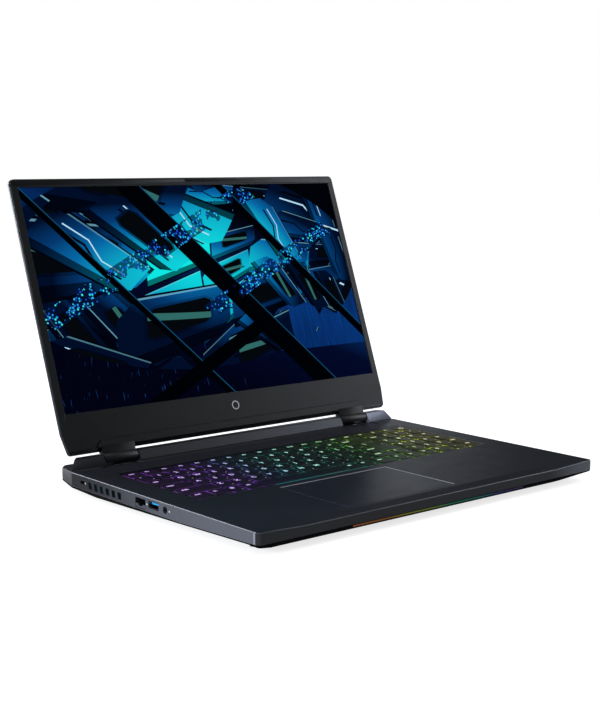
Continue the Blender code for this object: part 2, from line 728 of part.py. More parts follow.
def internals():
    simple_box("motherboard", (-86 * MM, 86 * MM), (112 * MM, 262 * MM), (12.7 * MM, 13.9 * MM), "circuit_board")
    simple_box("battery_pack", (-124 * MM, 124 * MM), (31 * MM, 106 * MM), (4.6 * MM, 12.4 * MM), "battery_wrap")
    simple_box("cold_plate", (-42 * MM, 42 * MM), (196 * MM, 240 * MM), (10.2 * MM, 12.4 * MM), "copper")
    simple_box("ssd_module", (4 * MM, 84 * MM), (120 * MM, 142 * MM), (9.4 * MM, 12.3 * MM), "circuit_board")
    simple_box("wireless_card", (56 * MM, 78 * MM), (150 * MM, 180 * MM), (9.8 * MM, 12.3 * MM), "circuit_board")
    memory_modules()
    for side, x in both_sides(133 * MM, 182 * MM).items():
        simple_box(f"speaker_{side}", x, (34 * MM, 98 * MM), (8.8 * MM, 16 * MM), "black_plastic")
    for side, sign in (("left", -1), ("right", 1)):
        fan_housing(f"fan_housing_{side}", sign * FAN_X)
        fan_rotor(f"fan_rotor_{side}", sign * FAN_X, sign)
        heat_pipe(f"heat_pipe_{side}", sign)
    for side, x in both_sides(92 * MM, 164 * MM).items():
        fin_stack(f"fin_stack_{side}", x)
    simple_box(
        "keyboard_plate", (-175 * MM, 182 * MM), (109 * MM, 238 * MM), (14.8 * MM, 16.1 * MM), "black_plastic"
    )


def sockets():
    ethernet_jack()
    ethernet_jaw()
    audio_jack()
    power_inlet()
    inset = 0.5 * MM
    for name, depth in USB_DEPTHS.items():
        side = -1 if "left" in name else 1
        place = (side * (BASE_HALF - inset), depth_to_y(depth), USB_Z)
        socket(name, USB_SIZE, 14 * MM, 1.2 * MM, "blue_plastic", place, side * math.pi / 2)
    for name, (x, width, height) in REAR_SOCKETS.items():
        place = (x, depth_to_y(BASE_DEPTH - inset), REAR_SOCKET_Z)
        socket(name, (width, height), 9 * MM, 0, "bare_steel", place, math.pi)


def light_bar():
    simple_box(
        "light_bar",
        (-LIGHT_BAR_HALF, LIGHT_BAR_HALF),
        (0.9 * MM, 3.6 * MM),
        (LIGHT_BAR_LOW, LIGHT_BAR_HIGH),
        "light_guide",
    )


def foot(name, x, depths, height=UNDERSIDE_Z - GAP):
    """A rubber foot with softened edges."""
    pad = box(name, x, [depth_to_y(d) for d in depths], (0, height))
    bevel = pad.modifiers.new("soft_edges", "BEVEL")
    bevel.width = 0.6 * MM
    bevel.segments = 1
    return finished(pad, "rubber")


def feet():
    for side, x in both_sides(108 * MM, 168 * MM).items():
        foot(f"foot_front_{side}", x, (31 * MM, 41 * MM))
    foot("foot_rear", (-150 * MM, 150 * MM), (258 * MM, 272 * MM))


SHAFT_RADIUS, SHAFT_GAP = 2 * MM, 0.09 * MM


def hinge_bracket(name, side):
    """The base's half of a hinge: a plate under the cover and a knuckle that the shaft turns in."""
    axis_y, radius, half = depth_to_y(HINGE_DEPTH), SHAFT_RADIUS + 1.5 * MM, 2.4 * MM
    lean = math.degrees(math.asin(half / radius))
    ring = [(axis_y + y, HINGE_Z + z) for y, z in arc((0, 0), radius, lean - 90, 270 - lean, 20)]
    profile = [(axis_y + half, 17 * MM), *ring, (axis_y - half, 17 * MM)]
    bore = [(axis_y + y, HINGE_Z + z) for y, z in arc((0, 0), SHAFT_RADIUS + SHAFT_GAP, 0, 345, 23)]
    knuckle = extruded_in_x(name, [profile, bore], *sorted((side * KNUCKLE[0], side * KNUCKLE[1])))
    plate_x = sorted((side * 152 * MM, side * 178 * MM))
    base = box("base", plate_x, (depth_to_y(242 * MM), depth_to_y(284 * MM)), (16.3 * MM, 17.5 * MM))
    join(knuckle, base)
    return finished(knuckle, "bare_steel")


# Touchpad and keyboard

def touchpad():
    """The clicking touchpad. Its origin is on the line that it tips about, along its rear edge."""
    width, length = TOUCHPAD_RIGHT - TOUCHPAD_LEFT, TOUCHPAD_FAR - TOUCHPAD_NEAR
    pad = box("touchpad", (-width / 2, width / 2), (-length, 0), (-1.3 * MM, 0))
    with_origin_at(pad, (0, 0, 0))
    pad.location = ((TOUCHPAD_LEFT + TOUCHPAD_RIGHT) / 2, depth_to_y(TOUCHPAD_FAR), DECK_Z - 0.35 * MM)
    return finished(pad, "touchpad_glass")


# Widths of the main block's keys in each row, in key units, from the left end of the row.
CONTROL_KEYS_LEFT = [1.15, 0.95, 0.9, 0.9]
SPACE_BAR_START, SPACE_BAR = 3.9, [5.5]
CONTROL_KEYS_RIGHT_START, CONTROL_KEYS_RIGHT = 9.4, [1, 1, 1.35]
ARROW_START = 12.75
SHIFT_ROW = [2.25, *[1] * 10, 1.5]
HOME_ROW = [1.75, *[1] * 11, 2.25]
UPPER_ROW = [1.5, *[1] * 12, 1.5]
NUMBER_ROW = [*[1] * 13, 2]
FUNCTION_ROW = [1] * 15
KEYBOARD_MARGIN = 1.2 * MM
MAIN_LEFT = KEYBOARD_LEFT + KEYBOARD_MARGIN
NUMPAD_LEFT = MAIN_LEFT + 15 * KEY_UNIT + NUMPAD_GAP


def row_limits(row):
    """Near and far depth of a key row, counted from the front. The last row is the function row."""
    near = KEYBOARD_NEAR + KEYBOARD_MARGIN + row * ROW_PITCH
    return near + KEY_GAP / 2, near + (FUNCTION_PITCH if row == 5 else ROW_PITCH) - KEY_GAP / 2


def key_bank(name, keys, row, finish="keycap"):
    """Keys side by side in one row, as one solid: caps on a thin web below them. keys holds X limits."""
    first, last = keys[0][0] + KEY_GAP / 2, keys[-1][1] - KEY_GAP / 2
    points = [(first, KEY_BOTTOM_Z), (last, KEY_BOTTOM_Z)]
    for low, high in reversed(keys):
        left, right = low + KEY_GAP / 2, high - KEY_GAP / 2
        slope = 0.5 * MM
        if right < last:
            points.append((right, KEY_WEB_Z))
        points.extend([(right - slope, KEY_TOP_Z), (left + slope, KEY_TOP_Z)])
        if left > first:
            points.append((left, KEY_WEB_Z))
    near, far = row_limits(row)
    bank = extruded_in_y(name, [points], depth_to_y(near), depth_to_y(far))
    return finished(bank, finish)


def key_limits(left, unit, widths):
    """X limits of keys that sit side by side from left."""
    limits = []
    for width in widths:
        limits.append((left, left + width * unit))
        left += width * unit
    return limits


def main_keys(widths, start=0.0):
    return key_limits(MAIN_LEFT + start * KEY_UNIT, KEY_UNIT, widths)


def number_pad(count, start=0):
    return key_limits(NUMPAD_LEFT + start * NUMPAD_UNIT, NUMPAD_UNIT, [1] * count)


def keyboard():
    key_bank("control_keys_left", main_keys(CONTROL_KEYS_LEFT), 0)
    key_bank("space_bar", main_keys(SPACE_BAR, SPACE_BAR_START), 0)
    key_bank("control_keys_right", main_keys(CONTROL_KEYS_RIGHT, CONTROL_KEYS_RIGHT_START), 0)
    arrows = main_keys([1, 1, 1], ARROW_START)
    for name, limits in zip(("arrow_left_key", "arrow_down_key", "arrow_right_key"), arrows):
        key_bank(name, [limits], 0)
    key_bank("arrow_up_key", [arrows[1]], 1)
    # The number pad's zero starts where the right arrow ends.
    zero = (arrows[2][1], number_pad(2)[1][1])
    key_bank("number_pad_front_keys", [zero, *number_pad(2, start=2)], 0)
    key_bank("shift_row_keys", main_keys(SHIFT_ROW), 1)
    key_bank("number_pad_second_keys", number_pad(4), 1)
    key_bank("home_row_keys", [*main_keys(HOME_ROW), *number_pad(4)], 2)
    key_bank("upper_row_keys", [*main_keys(UPPER_ROW), *number_pad(4)], 3)
    key_bank("number_row_keys", [*main_keys(NUMBER_ROW), *number_pad(4)], 4)
    key_bank("function_row_keys", [*main_keys(FUNCTION_ROW), *number_pad(3)], 5)
    key_bank("power_button", number_pad(1, start=3), 5)


# Lid, in its own plane: x across, s up from the hinge axis, t towards the viewer

LID_WALL = 1.3 * MM
BEZEL_BACK = 2 * MM
STRIP_HIGH = 18.2 * MM
CAMERA_S = LID_TOP - 3.6 * MM


def lid_outline(inset, top_radius=5 * MM, steps=3):
    """The lid's edge: rounded at the top, and drawn in a little at the lower corners."""
    half, foot_s, top = LID_HALF - inset, LID_FOOT + inset, LID_TOP - inset
    waist, knee = half - 2.2 * MM, foot_s + 18 * MM
    radius = 3 * MM
    right = [
        *arc((waist - radius, foot_s + radius), radius, -90, 0, steps),
        (half, knee),
        *arc((half - top_radius, top - top_radius), top_radius, 0, 90, steps),
    ]
    return [*right, *[(-x, s) for x, s in reversed(right)]]


def lid_back_cover(lid):
    rings = [
        [(x, s, LID_BACK) for x, s in lid_outline(2.4 * MM)],
        [(x, s, LID_BACK + 1.5 * MM) for x, s in lid_outline(0.3 * MM)],
        [(x, s, BEZEL_BACK - GAP) for x, s in lid_outline(0)],
    ]
    cover = shell("lid_back_cover", rings, LID_WALL)
    notches = [
        box("lug_notch", x, (0, LID_FOOT + 3 * MM), (LID_BACK - 2 * MM, LID_FACE))
        for x in both_sides(LUG_INNER - 0.6 * MM, LUG_OUTER + 0.6 * MM).values()
    ]
    cut(cover, *notches)
    return finished(cover, "deck_metal", lid)


def strip_outline(margin):
    """The low strip between the hinges, with cut-off upper corners. margin makes it larger."""
    half, low, high = LUG_OUTER + margin, LID_FOOT + 0.2 * MM, STRIP_HIGH + margin
    return [(-half, low), (half, low), (half, high - 5 * MM), (half - 5 * MM, high), (5 * MM - half, high), (-half, high - 5 * MM)]


def display_bezel(lid):
    half, low, high = SCREEN_WIDTH / 2 + 0.2 * MM, SCREEN_FOOT - 0.2 * MM, SCREEN_FOOT + SCREEN_HEIGHT + 0.2 * MM
    window = [(-half, low), (half, low), (half, high), (-half, high)]
    camera_hole = arc((0, CAMERA_S), 1.5 * MM, 0, 337.5, 15)
    outline = lid_outline(0.3 * MM)
    bezel = plate("display_bezel", [outline, window, camera_hole], BEZEL_BACK, LID_FACE)
    strip = strip_outline(GAP)
    # The notch for the strip runs out past the lid's lower edge.
    strip[0], strip[1] = (strip[0][0], 0), (strip[1][0], 0)
    cut(bezel, plate("strip_notch", [strip], BEZEL_BACK - 2 * MM, LID_FACE + 2 * MM))
    return finished(bezel, "black_plastic", lid)


def lcd_panel(lid):
    panel = box("lcd_panel", (-194 * MM, 194 * MM), (34 * MM, 262.4 * MM), (-0.3 * MM, BEZEL_BACK - GAP))
    return finished(panel, "screen", lid)


def webcam_module(lid):
    board = box("webcam_module", (-35 * MM, 35 * MM), (263 * MM, 267 * MM), (-0.6 * MM, 1.6 * MM))
    join(board, cylinder("lens", (0, CAMERA_S, 1 * MM), (0, CAMERA_S, 2.9 * MM), 1.1 * MM, 16))
    return finished(board, "black_plastic", lid)


LUG_T = (-3.4 * MM, 3.4 * MM)
LUG_ROOF = LID_FOOT + 2.6 * MM
ARM_X = (132 * MM, 158 * MM)


def hinge_cover_strip(lid):
    """The strip under the screen with a barrel at each end that hides a hinge."""
    strip = plate("hinge_cover_strip", [strip_outline(0)], BEZEL_BACK, LID_FACE + 0.9 * MM)
    lean = math.degrees(math.asin(LUG_T[1] / BARREL_RADIUS))
    barrel = arc((0, 0), BARREL_RADIUS, lean, 360 - lean, 26)
    for x in both_sides(LUG_INNER, LUG_OUTER - 0.4 * MM).values():
        # In (s, t): round the barrel and up to the lug's roof inside the lid.
        profile = [(LUG_ROOF, LUG_T[1]), *barrel, (LUG_ROOF, LUG_T[0])]
        join(strip, extruded_in_x("lug", [profile], *x))
    hollows = []
    for side in (-1, 1):
        slot_x = sorted((side * (ARM_X[0] - 0.8 * MM), side * (ARM_X[1] + 0.8 * MM)))
        hollows.append(box("slot", slot_x, (-0.5 * MM, LUG_ROOF + 2 * MM), (-1.4 * MM, 1.3 * MM)))
        hollows.append(
            cylinder("bore", (side * 129 * MM, 0, 0), (side * 168 * MM, 0, 0), SHAFT_RADIUS + GAP)
        )
    cut(strip, *hollows)
    return finished(strip, "black_plastic", lid)


def hinge_arm(name, side, lid):
    """The lid's half of a hinge: a shaft in the barrel and a long flat arm behind the panel."""
    shaft = cylinder(name, (side * 130 * MM, 0, 0), (side * 174.5 * MM, 0, 0), SHAFT_RADIUS, 24)
    arm_x = sorted((side * ARM_X[0], side * ARM_X[1]))
    root = box("root", arm_x, (0, LUG_ROOF + 3 * MM), (-1.0 * MM, 0.9 * MM))
    arm = box("arm", arm_x, (LUG_ROOF + 0.6 * MM, 62 * MM), (-2.1 * MM, -0.6 * MM))
    join(shaft, root, arm)
    return finished(shaft, "bare_steel", lid)


def display_cable(lid):
    """The flat cable from the panel's board towards the left hinge."""
    ribbon = box("display_cable", (-122 * MM, -70 * MM), (21 * MM, 32 * MM), (-0.5 * MM, 0.3 * MM))
    return finished(ribbon, "black_plastic", lid)


def lid_assembly():
    lid = bpy.data.objects.new("lid_hinge_axis", None)
    LAPTOP.objects.link(lid)
    lid.location = (0, depth_to_y(HINGE_DEPTH), HINGE_Z)
    lid.rotation_euler.x = LID_TILT
    lid_back_cover(lid)
    display_bezel(lid)
    lcd_panel(lid)
    webcam_module(lid)
    hinge_cover_strip(lid)
    for name, side in (("left", -1), ("right", 1)):
        hinge_arm(f"hinge_arm_{name}", side, lid)
    display_cable(lid)


clear_scene()
LAPTOP = new_collection("laptop")
CUTTERS = new_collection("cutters")
palm_rest_deck()
bottom_cover()
exhaust_housing()
hinge_ridge()
internals()
sockets()
light_bar()
feet()
for side_name, side_sign in (("left", -1), ("right", 1)):
    hinge_bracket(f"hinge_bracket_{side_name}", side_sign)
touchpad()
keyboard()
lid_assembly()
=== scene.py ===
"""Looks for the open gaming laptop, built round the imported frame.

Lengths are written in millimetres. Base pieces are drawn as (x, depth from the front edge, height).
Lid pieces are drawn in the lid's own plane: (x, s up from the hinge axis, t towards the viewer).
"""

import math

import bmesh
import bpy
from mathutils import Matrix, Vector


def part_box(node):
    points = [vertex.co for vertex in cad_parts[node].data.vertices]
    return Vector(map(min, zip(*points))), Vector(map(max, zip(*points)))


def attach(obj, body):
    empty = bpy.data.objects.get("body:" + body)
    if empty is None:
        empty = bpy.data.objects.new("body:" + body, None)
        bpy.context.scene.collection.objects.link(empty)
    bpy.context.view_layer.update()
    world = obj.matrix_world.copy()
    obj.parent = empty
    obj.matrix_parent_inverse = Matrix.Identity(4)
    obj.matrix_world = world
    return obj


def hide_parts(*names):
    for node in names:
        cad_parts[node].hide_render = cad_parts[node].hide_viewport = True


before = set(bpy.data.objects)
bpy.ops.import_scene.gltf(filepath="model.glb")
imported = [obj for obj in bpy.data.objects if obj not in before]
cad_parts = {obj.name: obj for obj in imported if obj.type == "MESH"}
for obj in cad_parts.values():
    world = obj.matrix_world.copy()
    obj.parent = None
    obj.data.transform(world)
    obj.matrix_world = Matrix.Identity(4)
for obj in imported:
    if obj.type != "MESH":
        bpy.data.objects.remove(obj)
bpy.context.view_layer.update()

MM = 0.001
LID_ANGLE = math.radians(110.4)
FRONT_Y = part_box("palm_rest_deck")[0].y
BASE = Matrix.Translation((0, FRONT_Y, 0)) @ Matrix.Scale(MM, 4)
LID = Matrix.Translation((0, FRONT_Y + 0.275, 0.024)) @ Matrix.Rotation(math.pi - LID_ANGLE, 4, "X")
HALF, DEPTH, TOP = 200, 304, 20        # the base: half its width, front to back, height of the deck
DECK_END, TAPER = 264.3, 105           # the deck's rear end, and where its side band is narrowest
LIP_END, LIP_DROP = 11, 1.7            # the front lip slopes down from here
RIDGE_SEAT = ((-170, 170), (254.7, 266))
USB = {  # node: (depth of its middle, side)
    "usb_socket_left": (137.4, -1), "usb_socket_right_rear": (158, 1), "usb_socket_right_front": (134, 1),
}
FOOT, CAMERA_UP = 7.6, 265.4           # the lid's lower edge and its camera, up from the hinge axis
BARRELS = {"barrel_left": (-160.8, -125.2), "barrel_right": (130.6, 164.8)}
LARGE_FACE = 0.0004                    # square metres


# ---------------------------------------------------------------- materials

WIDTH = (-HALF, HALF)
KEY_SPAN = (-172, 178)
GRAIN_STRENGTH, ROUGHNESS_DRIFT = 0.35, 0.06
PAINT = {"grain": 2600, "depth": 0.000012}

# How strong the backlight is along the keyboard.
SWELL = ((0, 0.42), (0.28, 0.26), (0.45, 0.15), (0.62, 0.28), (0.78, 0.8), (1, 1))
GLOW = [  # backlight colours along the keyboard, from the left end to the right end
    (0.0, (0.42, 0.07, 0.85)), (0.22, (0.3, 0.08, 0.9)), (0.31, (0.05, 0.35, 0.8)), (0.38, (0.02, 0.6, 0.6)),
    (0.52, (0.02, 0.62, 0.42)), (0.63, (0.06, 0.62, 0.1)), (0.78, (0.35, 0.6, 0.03)), (1.0, (0.5, 0.42, 0.02)),
]


def new_material(name, colour, roughness, metallic=0.0, specular=0.5):
    made = bpy.data.materials.new(name)
    made.use_nodes = True
    shader = made.node_tree.nodes["Principled BSDF"]
    shader.inputs["Base Color"].default_value = (*colour, 1)
    shader.inputs["Roughness"].default_value = roughness
    shader.inputs["Metallic"].default_value = metallic
    shader.inputs["Specular IOR Level"].default_value = specular
    return made, made.node_tree, shader


def add(tree, kind, **settings):
    """A node. A setting is one of its inputs, with _ for a space, or one of its properties."""
    node = tree.nodes.new(kind)
    for key, value in settings.items():
        key = key.replace("_", " ") if key[0].isupper() else key
        if key in node.inputs:
            node.inputs[key].default_value = value
        else:
            setattr(node, key, value)
    return node


def noise(tree, scale, detail, stretch=None):
    """A noise texture over the piece's own coordinates, in metres."""
    place = add(tree, "ShaderNodeTexCoord").outputs["Object"]
    if stretch:
        mapping = add(tree, "ShaderNodeMapping", Scale=stretch)
        tree.links.new(place, mapping.inputs["Vector"])
        place = mapping.outputs["Vector"]
    made = add(tree, "ShaderNodeTexNoise", Scale=scale, Detail=detail)
    tree.links.new(place, made.inputs["Vector"])
    return made.outputs["Fac"]


def ramp(tree, factor, stops):
    """A colour ramp. stops are (position, colour) or (position, grey level)."""
    made = add(tree, "ShaderNodeValToRGB")
    elements = made.color_ramp.elements
    while len(elements) < len(stops):
        elements.new(0.5)
    for element, (position, colour) in zip(elements, stops):
        element.position = position
        element.color = (*colour, 1) if isinstance(colour, tuple) else (colour, colour, colour, 1)
    tree.links.new(factor, made.inputs["Fac"])
    return made.outputs["Color"]


def value_range(tree, factor, **limits):
    made = add(tree, "ShaderNodeMapRange", **limits)
    tree.links.new(factor, made.inputs["Value"])
    return made.outputs["Result"]


def bump(tree, shader, height, strength, distance):
    made = add(tree, "ShaderNodeBump", Strength=strength, Distance=distance)
    tree.links.new(height, made.inputs["Height"])
    tree.links.new(made.outputs["Normal"], shader.inputs["Normal"])


def grained(name, dark, light, roughness, grain=1800, depth=0.00003, metallic=0.0, specular=0.5,
            stretch=None, patch=18):
    """A moulded or painted finish: fine grain, slow colour drift and uneven roughness."""
    made, tree, shader = new_material(name, dark, roughness, metallic, specular)
    drift = ramp(tree, noise(tree, patch, 4), [(0.3, dark), (0.7, light)])
    tree.links.new(drift, shader.inputs["Base Color"])
    uneven = value_range(tree, noise(tree, patch * 3, 5), To_Min=roughness - ROUGHNESS_DRIFT,
                         To_Max=roughness + ROUGHNESS_DRIFT)
    tree.links.new(uneven, shader.inputs["Roughness"])
    bump(tree, shader, noise(tree, grain, 2, stretch), GRAIN_STRENGTH, depth)
    return made


def across(tree, span, axis="X"):
    """0 to 1 along one axis of the piece's coordinates, over a span in mm."""
    split = add(tree, "ShaderNodeSeparateXYZ")
    tree.links.new(add(tree, "ShaderNodeTexCoord").outputs["Object"], split.inputs[0])
    return value_range(tree, split.outputs[axis], From_Min=span[0] * MM, From_Max=span[1] * MM)


def paint_light_along(made, axis, span, stops):
    """Paints light and shade into a finish along one axis: lower shares are painted shade, and the full colour
    at the top stops serves as a painted highlight. stops are (place, share of the full colour).
    """
    tree = made.node_tree
    base = tree.nodes["Principled BSDF"].inputs["Base Color"]
    product = add(tree, "ShaderNodeMix", data_type="RGBA", blend_type="MULTIPLY", Factor=1)
    tree.links.new(base.links[0].from_socket, product.inputs[6])
    tree.links.new(ramp(tree, across(tree, span, axis), stops), product.inputs[7])
    tree.links.new(product.outputs[2], base)


def lit(name, base, stops, strength, span=KEY_SPAN, roughness=0.4, whiten=0.0, patchy=None):
    """A glowing surface, coloured along X: the backlit film, legends and light strip, and also painted glow
    where the backlight falls on key skirts, keycaps and the recess's front wall. patchy is (noise scale, noise
    level to start at).
    """
    made, tree, shader = new_material(name, base, roughness, specular=0.25)
    stops = [(p, tuple(c + (1 - c) * whiten for c in colour)) for p, colour in stops]
    place = across(tree, span)
    tree.links.new(ramp(tree, place, stops), shader.inputs["Emission Color"])
    if patchy:
        scale, start = patchy
        level = value_range(tree, noise(tree, scale, 2), To_Min=0, To_Max=strength,
                            From_Min=start, From_Max=start + 0.15)
        product = add(tree, "ShaderNodeMath", operation="MULTIPLY")
        tree.links.new(level, product.inputs[0])
        tree.links.new(ramp(tree, place, SWELL), product.inputs[1])
        tree.links.new(product.outputs[0], shader.inputs["Emission Strength"])
    else:
        shader.inputs["Emission Strength"].default_value = strength
    bump(tree, shader, noise(tree, 1500, 2), 0.2, 0.00002)
    return made


DECK = grained("deck_paint", (0.0145, 0.0155, 0.0205), (0.0185, 0.0195, 0.0255), 0.45, specular=0.3, **PAINT)
SIDE = grained("side_paint_and_shade", (0.17, 0.176, 0.21), (0.2, 0.206, 0.245), 0.42, metallic=0.3, **PAINT)
# Painted shade: the side band grows darker towards the rear.
paint_light_along(SIDE, "Y", (FRONT_Y / MM, FRONT_Y / MM + 260),
            ((0, 0.74), (0.5, 0.56), (0.7, 0.3), (0.85, 0.12), (1, 0.1)))
FRONT = grained("front_paint_and_highlight", (0.16, 0.166, 0.19), (0.195, 0.2, 0.23), 0.42, **PAINT)
# Painted highlight: the front face stays dark except at its right end, which is painted bright.
paint_light_along(FRONT, "X", WIDTH, ((0, 0.105), (0.6, 0.12), (0.85, 0.155), (0.93, 0.75), (1, 1)))
RIDGE = grained("ridge_paint_and_light", (0.19, 0.2, 0.255), (0.23, 0.242, 0.305), 0.42, metallic=0.4, **PAINT)
# Painted shade and highlight: the ridge, and the keyboard recess's edge that shares this finish, darken towards
# the left and turn bright at the right end.
paint_light_along(RIDGE, "X", WIDTH, ((0, 0.048), (0.12, 0.06), (0.5, 0.089), (0.84, 0.2), (0.9, 0.85), (1, 1)))
HOUSING = grained("housing_paint", (0.034, 0.032, 0.034), (0.044, 0.041, 0.043), 0.5, metallic=0.15)
LID_METAL = grained("lid_metal", (0.034, 0.036, 0.044), (0.044, 0.046, 0.056), 0.4, metallic=0.6, grain=900,
                    stretch=(0.03, 1, 1), depth=0.00001)
BEZEL = grained("bezel_plastic_and_shade", (0.0061, 0.006, 0.0069), (0.0076, 0.0075, 0.0086), 0.45, specular=0.3)
# Painted shade: the bezel and the hinge strip darken towards the left.
paint_light_along(BEZEL, "X", WIDTH, ((0, 0.26), (0.5, 0.6), (1, 1)))
BLACK = grained("black_plastic", (0.008, 0.008, 0.009), (0.012, 0.012, 0.013), 0.55, specular=0.35)
# Black plastic, made darker than the other black plastic as painted shade beneath the base.
UNDER_SHADED = grained("under_plastic_and_shade", (0.002, 0.002, 0.0022), (0.0035, 0.0035, 0.0038), 0.7, specular=0.08)
BARREL = grained("barrel_plastic", (0.006, 0.006, 0.0068), (0.008, 0.008, 0.009), 0.4, specular=0.35)
GLASS_PAD = grained("touchpad_glass", (0.014, 0.015, 0.0195), (0.018, 0.019, 0.0245), 0.4, grain=4000,
                    depth=0.000004, specular=0.3)
# A light cut edge: partly the bare edge's own colour, partly a painted highlight.
EDGE_HIGHLIGHT = grained("cut_edge_highlight", (0.3, 0.305, 0.34), (0.36, 0.365, 0.4), 0.4, grain=2600, depth=0.000006)
# Painted highlight: a lighter line along the upper fillet of the front lip.
LIP_HIGHLIGHT = grained("lip_painted_highlight", (0.06, 0.063, 0.075), (0.075, 0.078, 0.092), 0.4, grain=2600, depth=0.000006)
# Painted glints: the fins' patchy teal tint.
FIN_GLINTS = grained("vent_fin", (0.005, 0.035, 0.05), (0.02, 0.16, 0.19), 0.35, metallic=0.5, patch=90)
RUBBER = grained("rubber", (0.01, 0.01, 0.01), (0.018, 0.018, 0.018), 0.85, grain=900, depth=0.00008)
STEEL = grained("steel", (0.42, 0.42, 0.44), (0.56, 0.56, 0.58), 0.32, metallic=1.0, grain=1500,
                stretch=(1, 0.08, 1), depth=0.00001)
COPPER = grained("copper", (0.5, 0.22, 0.12), (0.72, 0.36, 0.2), 0.32, metallic=1.0, depth=0.00001)
ALUMINIUM = grained("aluminium", (0.5, 0.5, 0.52), (0.66, 0.66, 0.68), 0.36, metallic=1.0, depth=0.00001)
SHELL = grained("socket_shell", (0.1, 0.1, 0.11), (0.16, 0.16, 0.17), 0.35, metallic=1.0, depth=0.00001)
GOLD = grained("gold_contact", (0.75, 0.5, 0.16), (0.9, 0.64, 0.25), 0.25, metallic=1.0, depth=0.000005)
BLUE = grained("blue_plastic", (0.01, 0.3, 0.7), (0.02, 0.4, 0.8), 0.4)
WRAP = grained("battery_wrap", (0.015, 0.015, 0.017), (0.022, 0.022, 0.024), 0.4, grain=500)
BOARD = grained("circuit_board", (0.01, 0.045, 0.03), (0.016, 0.075, 0.045), 0.4, grain=450, depth=0.00006)
PRINT = grained("printed_mark", (0.55, 0.56, 0.6), (0.65, 0.66, 0.7), 0.5)
UNDERGLOW = lit("key_underglow", (0.003, 0.003, 0.003), GLOW, 0.05, patchy=(45, 0.42))
# Painted glints: patches of backlight colour glowing on the key skirts.
SKIRT_GLINTS = lit("keycap_skirt_painted_glints", (0.005, 0.005, 0.005), GLOW, 1.1, patchy=(75, 0.42))
# Painted glow: the dark caps carry a faint patchy tint of the backlight.
KEYCAP_GLOW = lit("keycap_plastic_painted_glow", (0.006, 0.0058, 0.006), GLOW, 0.045, roughness=0.5, patchy=(110, 0.3))
LEGEND = lit("key_legend", (0.1, 0.1, 0.1), GLOW, 1.1, whiten=0.35)
# Painted light: the keys' teal glow falling on the keyboard recess's front wall, in front of the space bar.
TEAL_STOPS = [(0.0, (0.0, 0.45, 0.5)), (0.6, (0.01, 0.42, 0.38)), (1.0, (0.02, 0.16, 0.08))]
PAINTED_FRONT_GLOW = lit("key_front_painted_glow", (0.01, 0.01, 0.01), TEAL_STOPS, 0.4, (-90, 26))
LIGHT_STOPS = [  # from the left end to the right end
    (0.0, (0.9, 0.3, 0.08)), (0.2, (0.75, 0.3, 0.06)), (0.28, (0.6, 0.6, 0.06)), (0.45, (0.4, 0.6, 0.08)),
    (0.55, (0.02, 0.5, 0.25)), (0.72, (0.02, 0.4, 0.35)), (0.84, (0.05, 0.08, 0.45)), (1.0, (0.12, 0.04, 0.2)),
]
LIGHT = lit("light_bar_glow", (0.01, 0.01, 0.01), LIGHT_STOPS, 0.16, (-103, 103))


# ---------------------------------------------------------------- mesh tools

def arc(cx, cy, radius, start, end, steps):
    for i in range(steps + 1):
        a = math.radians(start + (end - start) * i / steps)
        yield cx + radius * math.cos(a), cy + radius * math.sin(a)


def rounded(x0, x1, y0, y1, radius, steps=4):
    """A function of an inset, giving a rectangle with rounded corners."""
    def outline(inset=0.0):
        r = max(radius - inset, 0.05)
        l, r_, b, t = x0 + inset, x1 - inset, y0 + inset, y1 - inset
        return [*arc(r_ - r, b + r, r, -90, 0, steps), *arc(r_ - r, t - r, r, 0, 90, steps),
                *arc(l + r, t - r, r, 90, 180, steps), *arc(l + r, b + r, r, 180, 270, steps)]
    return outline


def fillet(radius, steps=4):
    """(inset, drop) pairs round an edge, from its upper face to its side."""
    for i in range(steps + 1):
        a = math.radians(90 * i / steps)
        yield radius * (1 - math.sin(a)), radius * (1 - math.cos(a))


def share(value, start, end):
    """How far a value has got from start to end, kept within 0 and 1."""
    return min(max((value - start) / (end - start), 0), 1)


def quads(a, b):
    """The corners of the quads between two closed loops."""
    for i in range(len(a)):
        j = (i + 1) % len(a)
        yield a[i], a[j], b[j], b[i]


def loft(bm, rings, first=True, last=True, material=0):
    """Joins rings of points with quads, and closes the first and the last ring."""
    loops = [[bm.verts.new(p) for p in ring] for ring in rings]
    faces = [bm.faces.new(quad) for a, b in zip(loops, loops[1:]) for quad in quads(a, b)]
    if first:
        faces.append(bm.faces.new(loops[0][::-1]))
    if last:
        faces.append(bm.faces.new(loops[-1]))
    for face in faces:
        face.material_index = material
    return loops


def slab(bm, outline, low, high, edge=0.3, lower_edge=None):
    """A solid with an outline(inset) plan, rounded along its upper and lower edges."""
    lower_edge = edge if lower_edge is None else lower_edge
    profile = [(i, low + d) for i, d in fillet(lower_edge, 3)]
    profile += [(i, high - d) for i, d in list(fillet(edge, 3))[::-1]]
    loft(bm, [[(x, y, z) for x, y in outline(i)] for i, z in profile])


def turned(bm, centre, axis, profile, segments):
    """A round solid about an axis through centre. profile is (distance along the axis, radius)."""
    axis = Vector(axis).normalized()
    side = axis.orthogonal().normalized()
    other = axis.cross(side)
    angles = [2 * math.pi * i / segments for i in range(segments)]
    loft(bm, [[Vector(centre) + axis * along + (side * math.cos(a) + other * math.sin(a)) * radius
               for a in angles] for along, radius in profile])


def smooth(mesh, angle):
    """Smooth shading for curved parts; large flat faces stay flat."""
    mesh.shade_smooth()
    mesh.set_sharp_from_angle(angle=math.radians(angle))
    for polygon in mesh.polygons:
        if polygon.area > LARGE_FACE:
            polygon.use_smooth = False


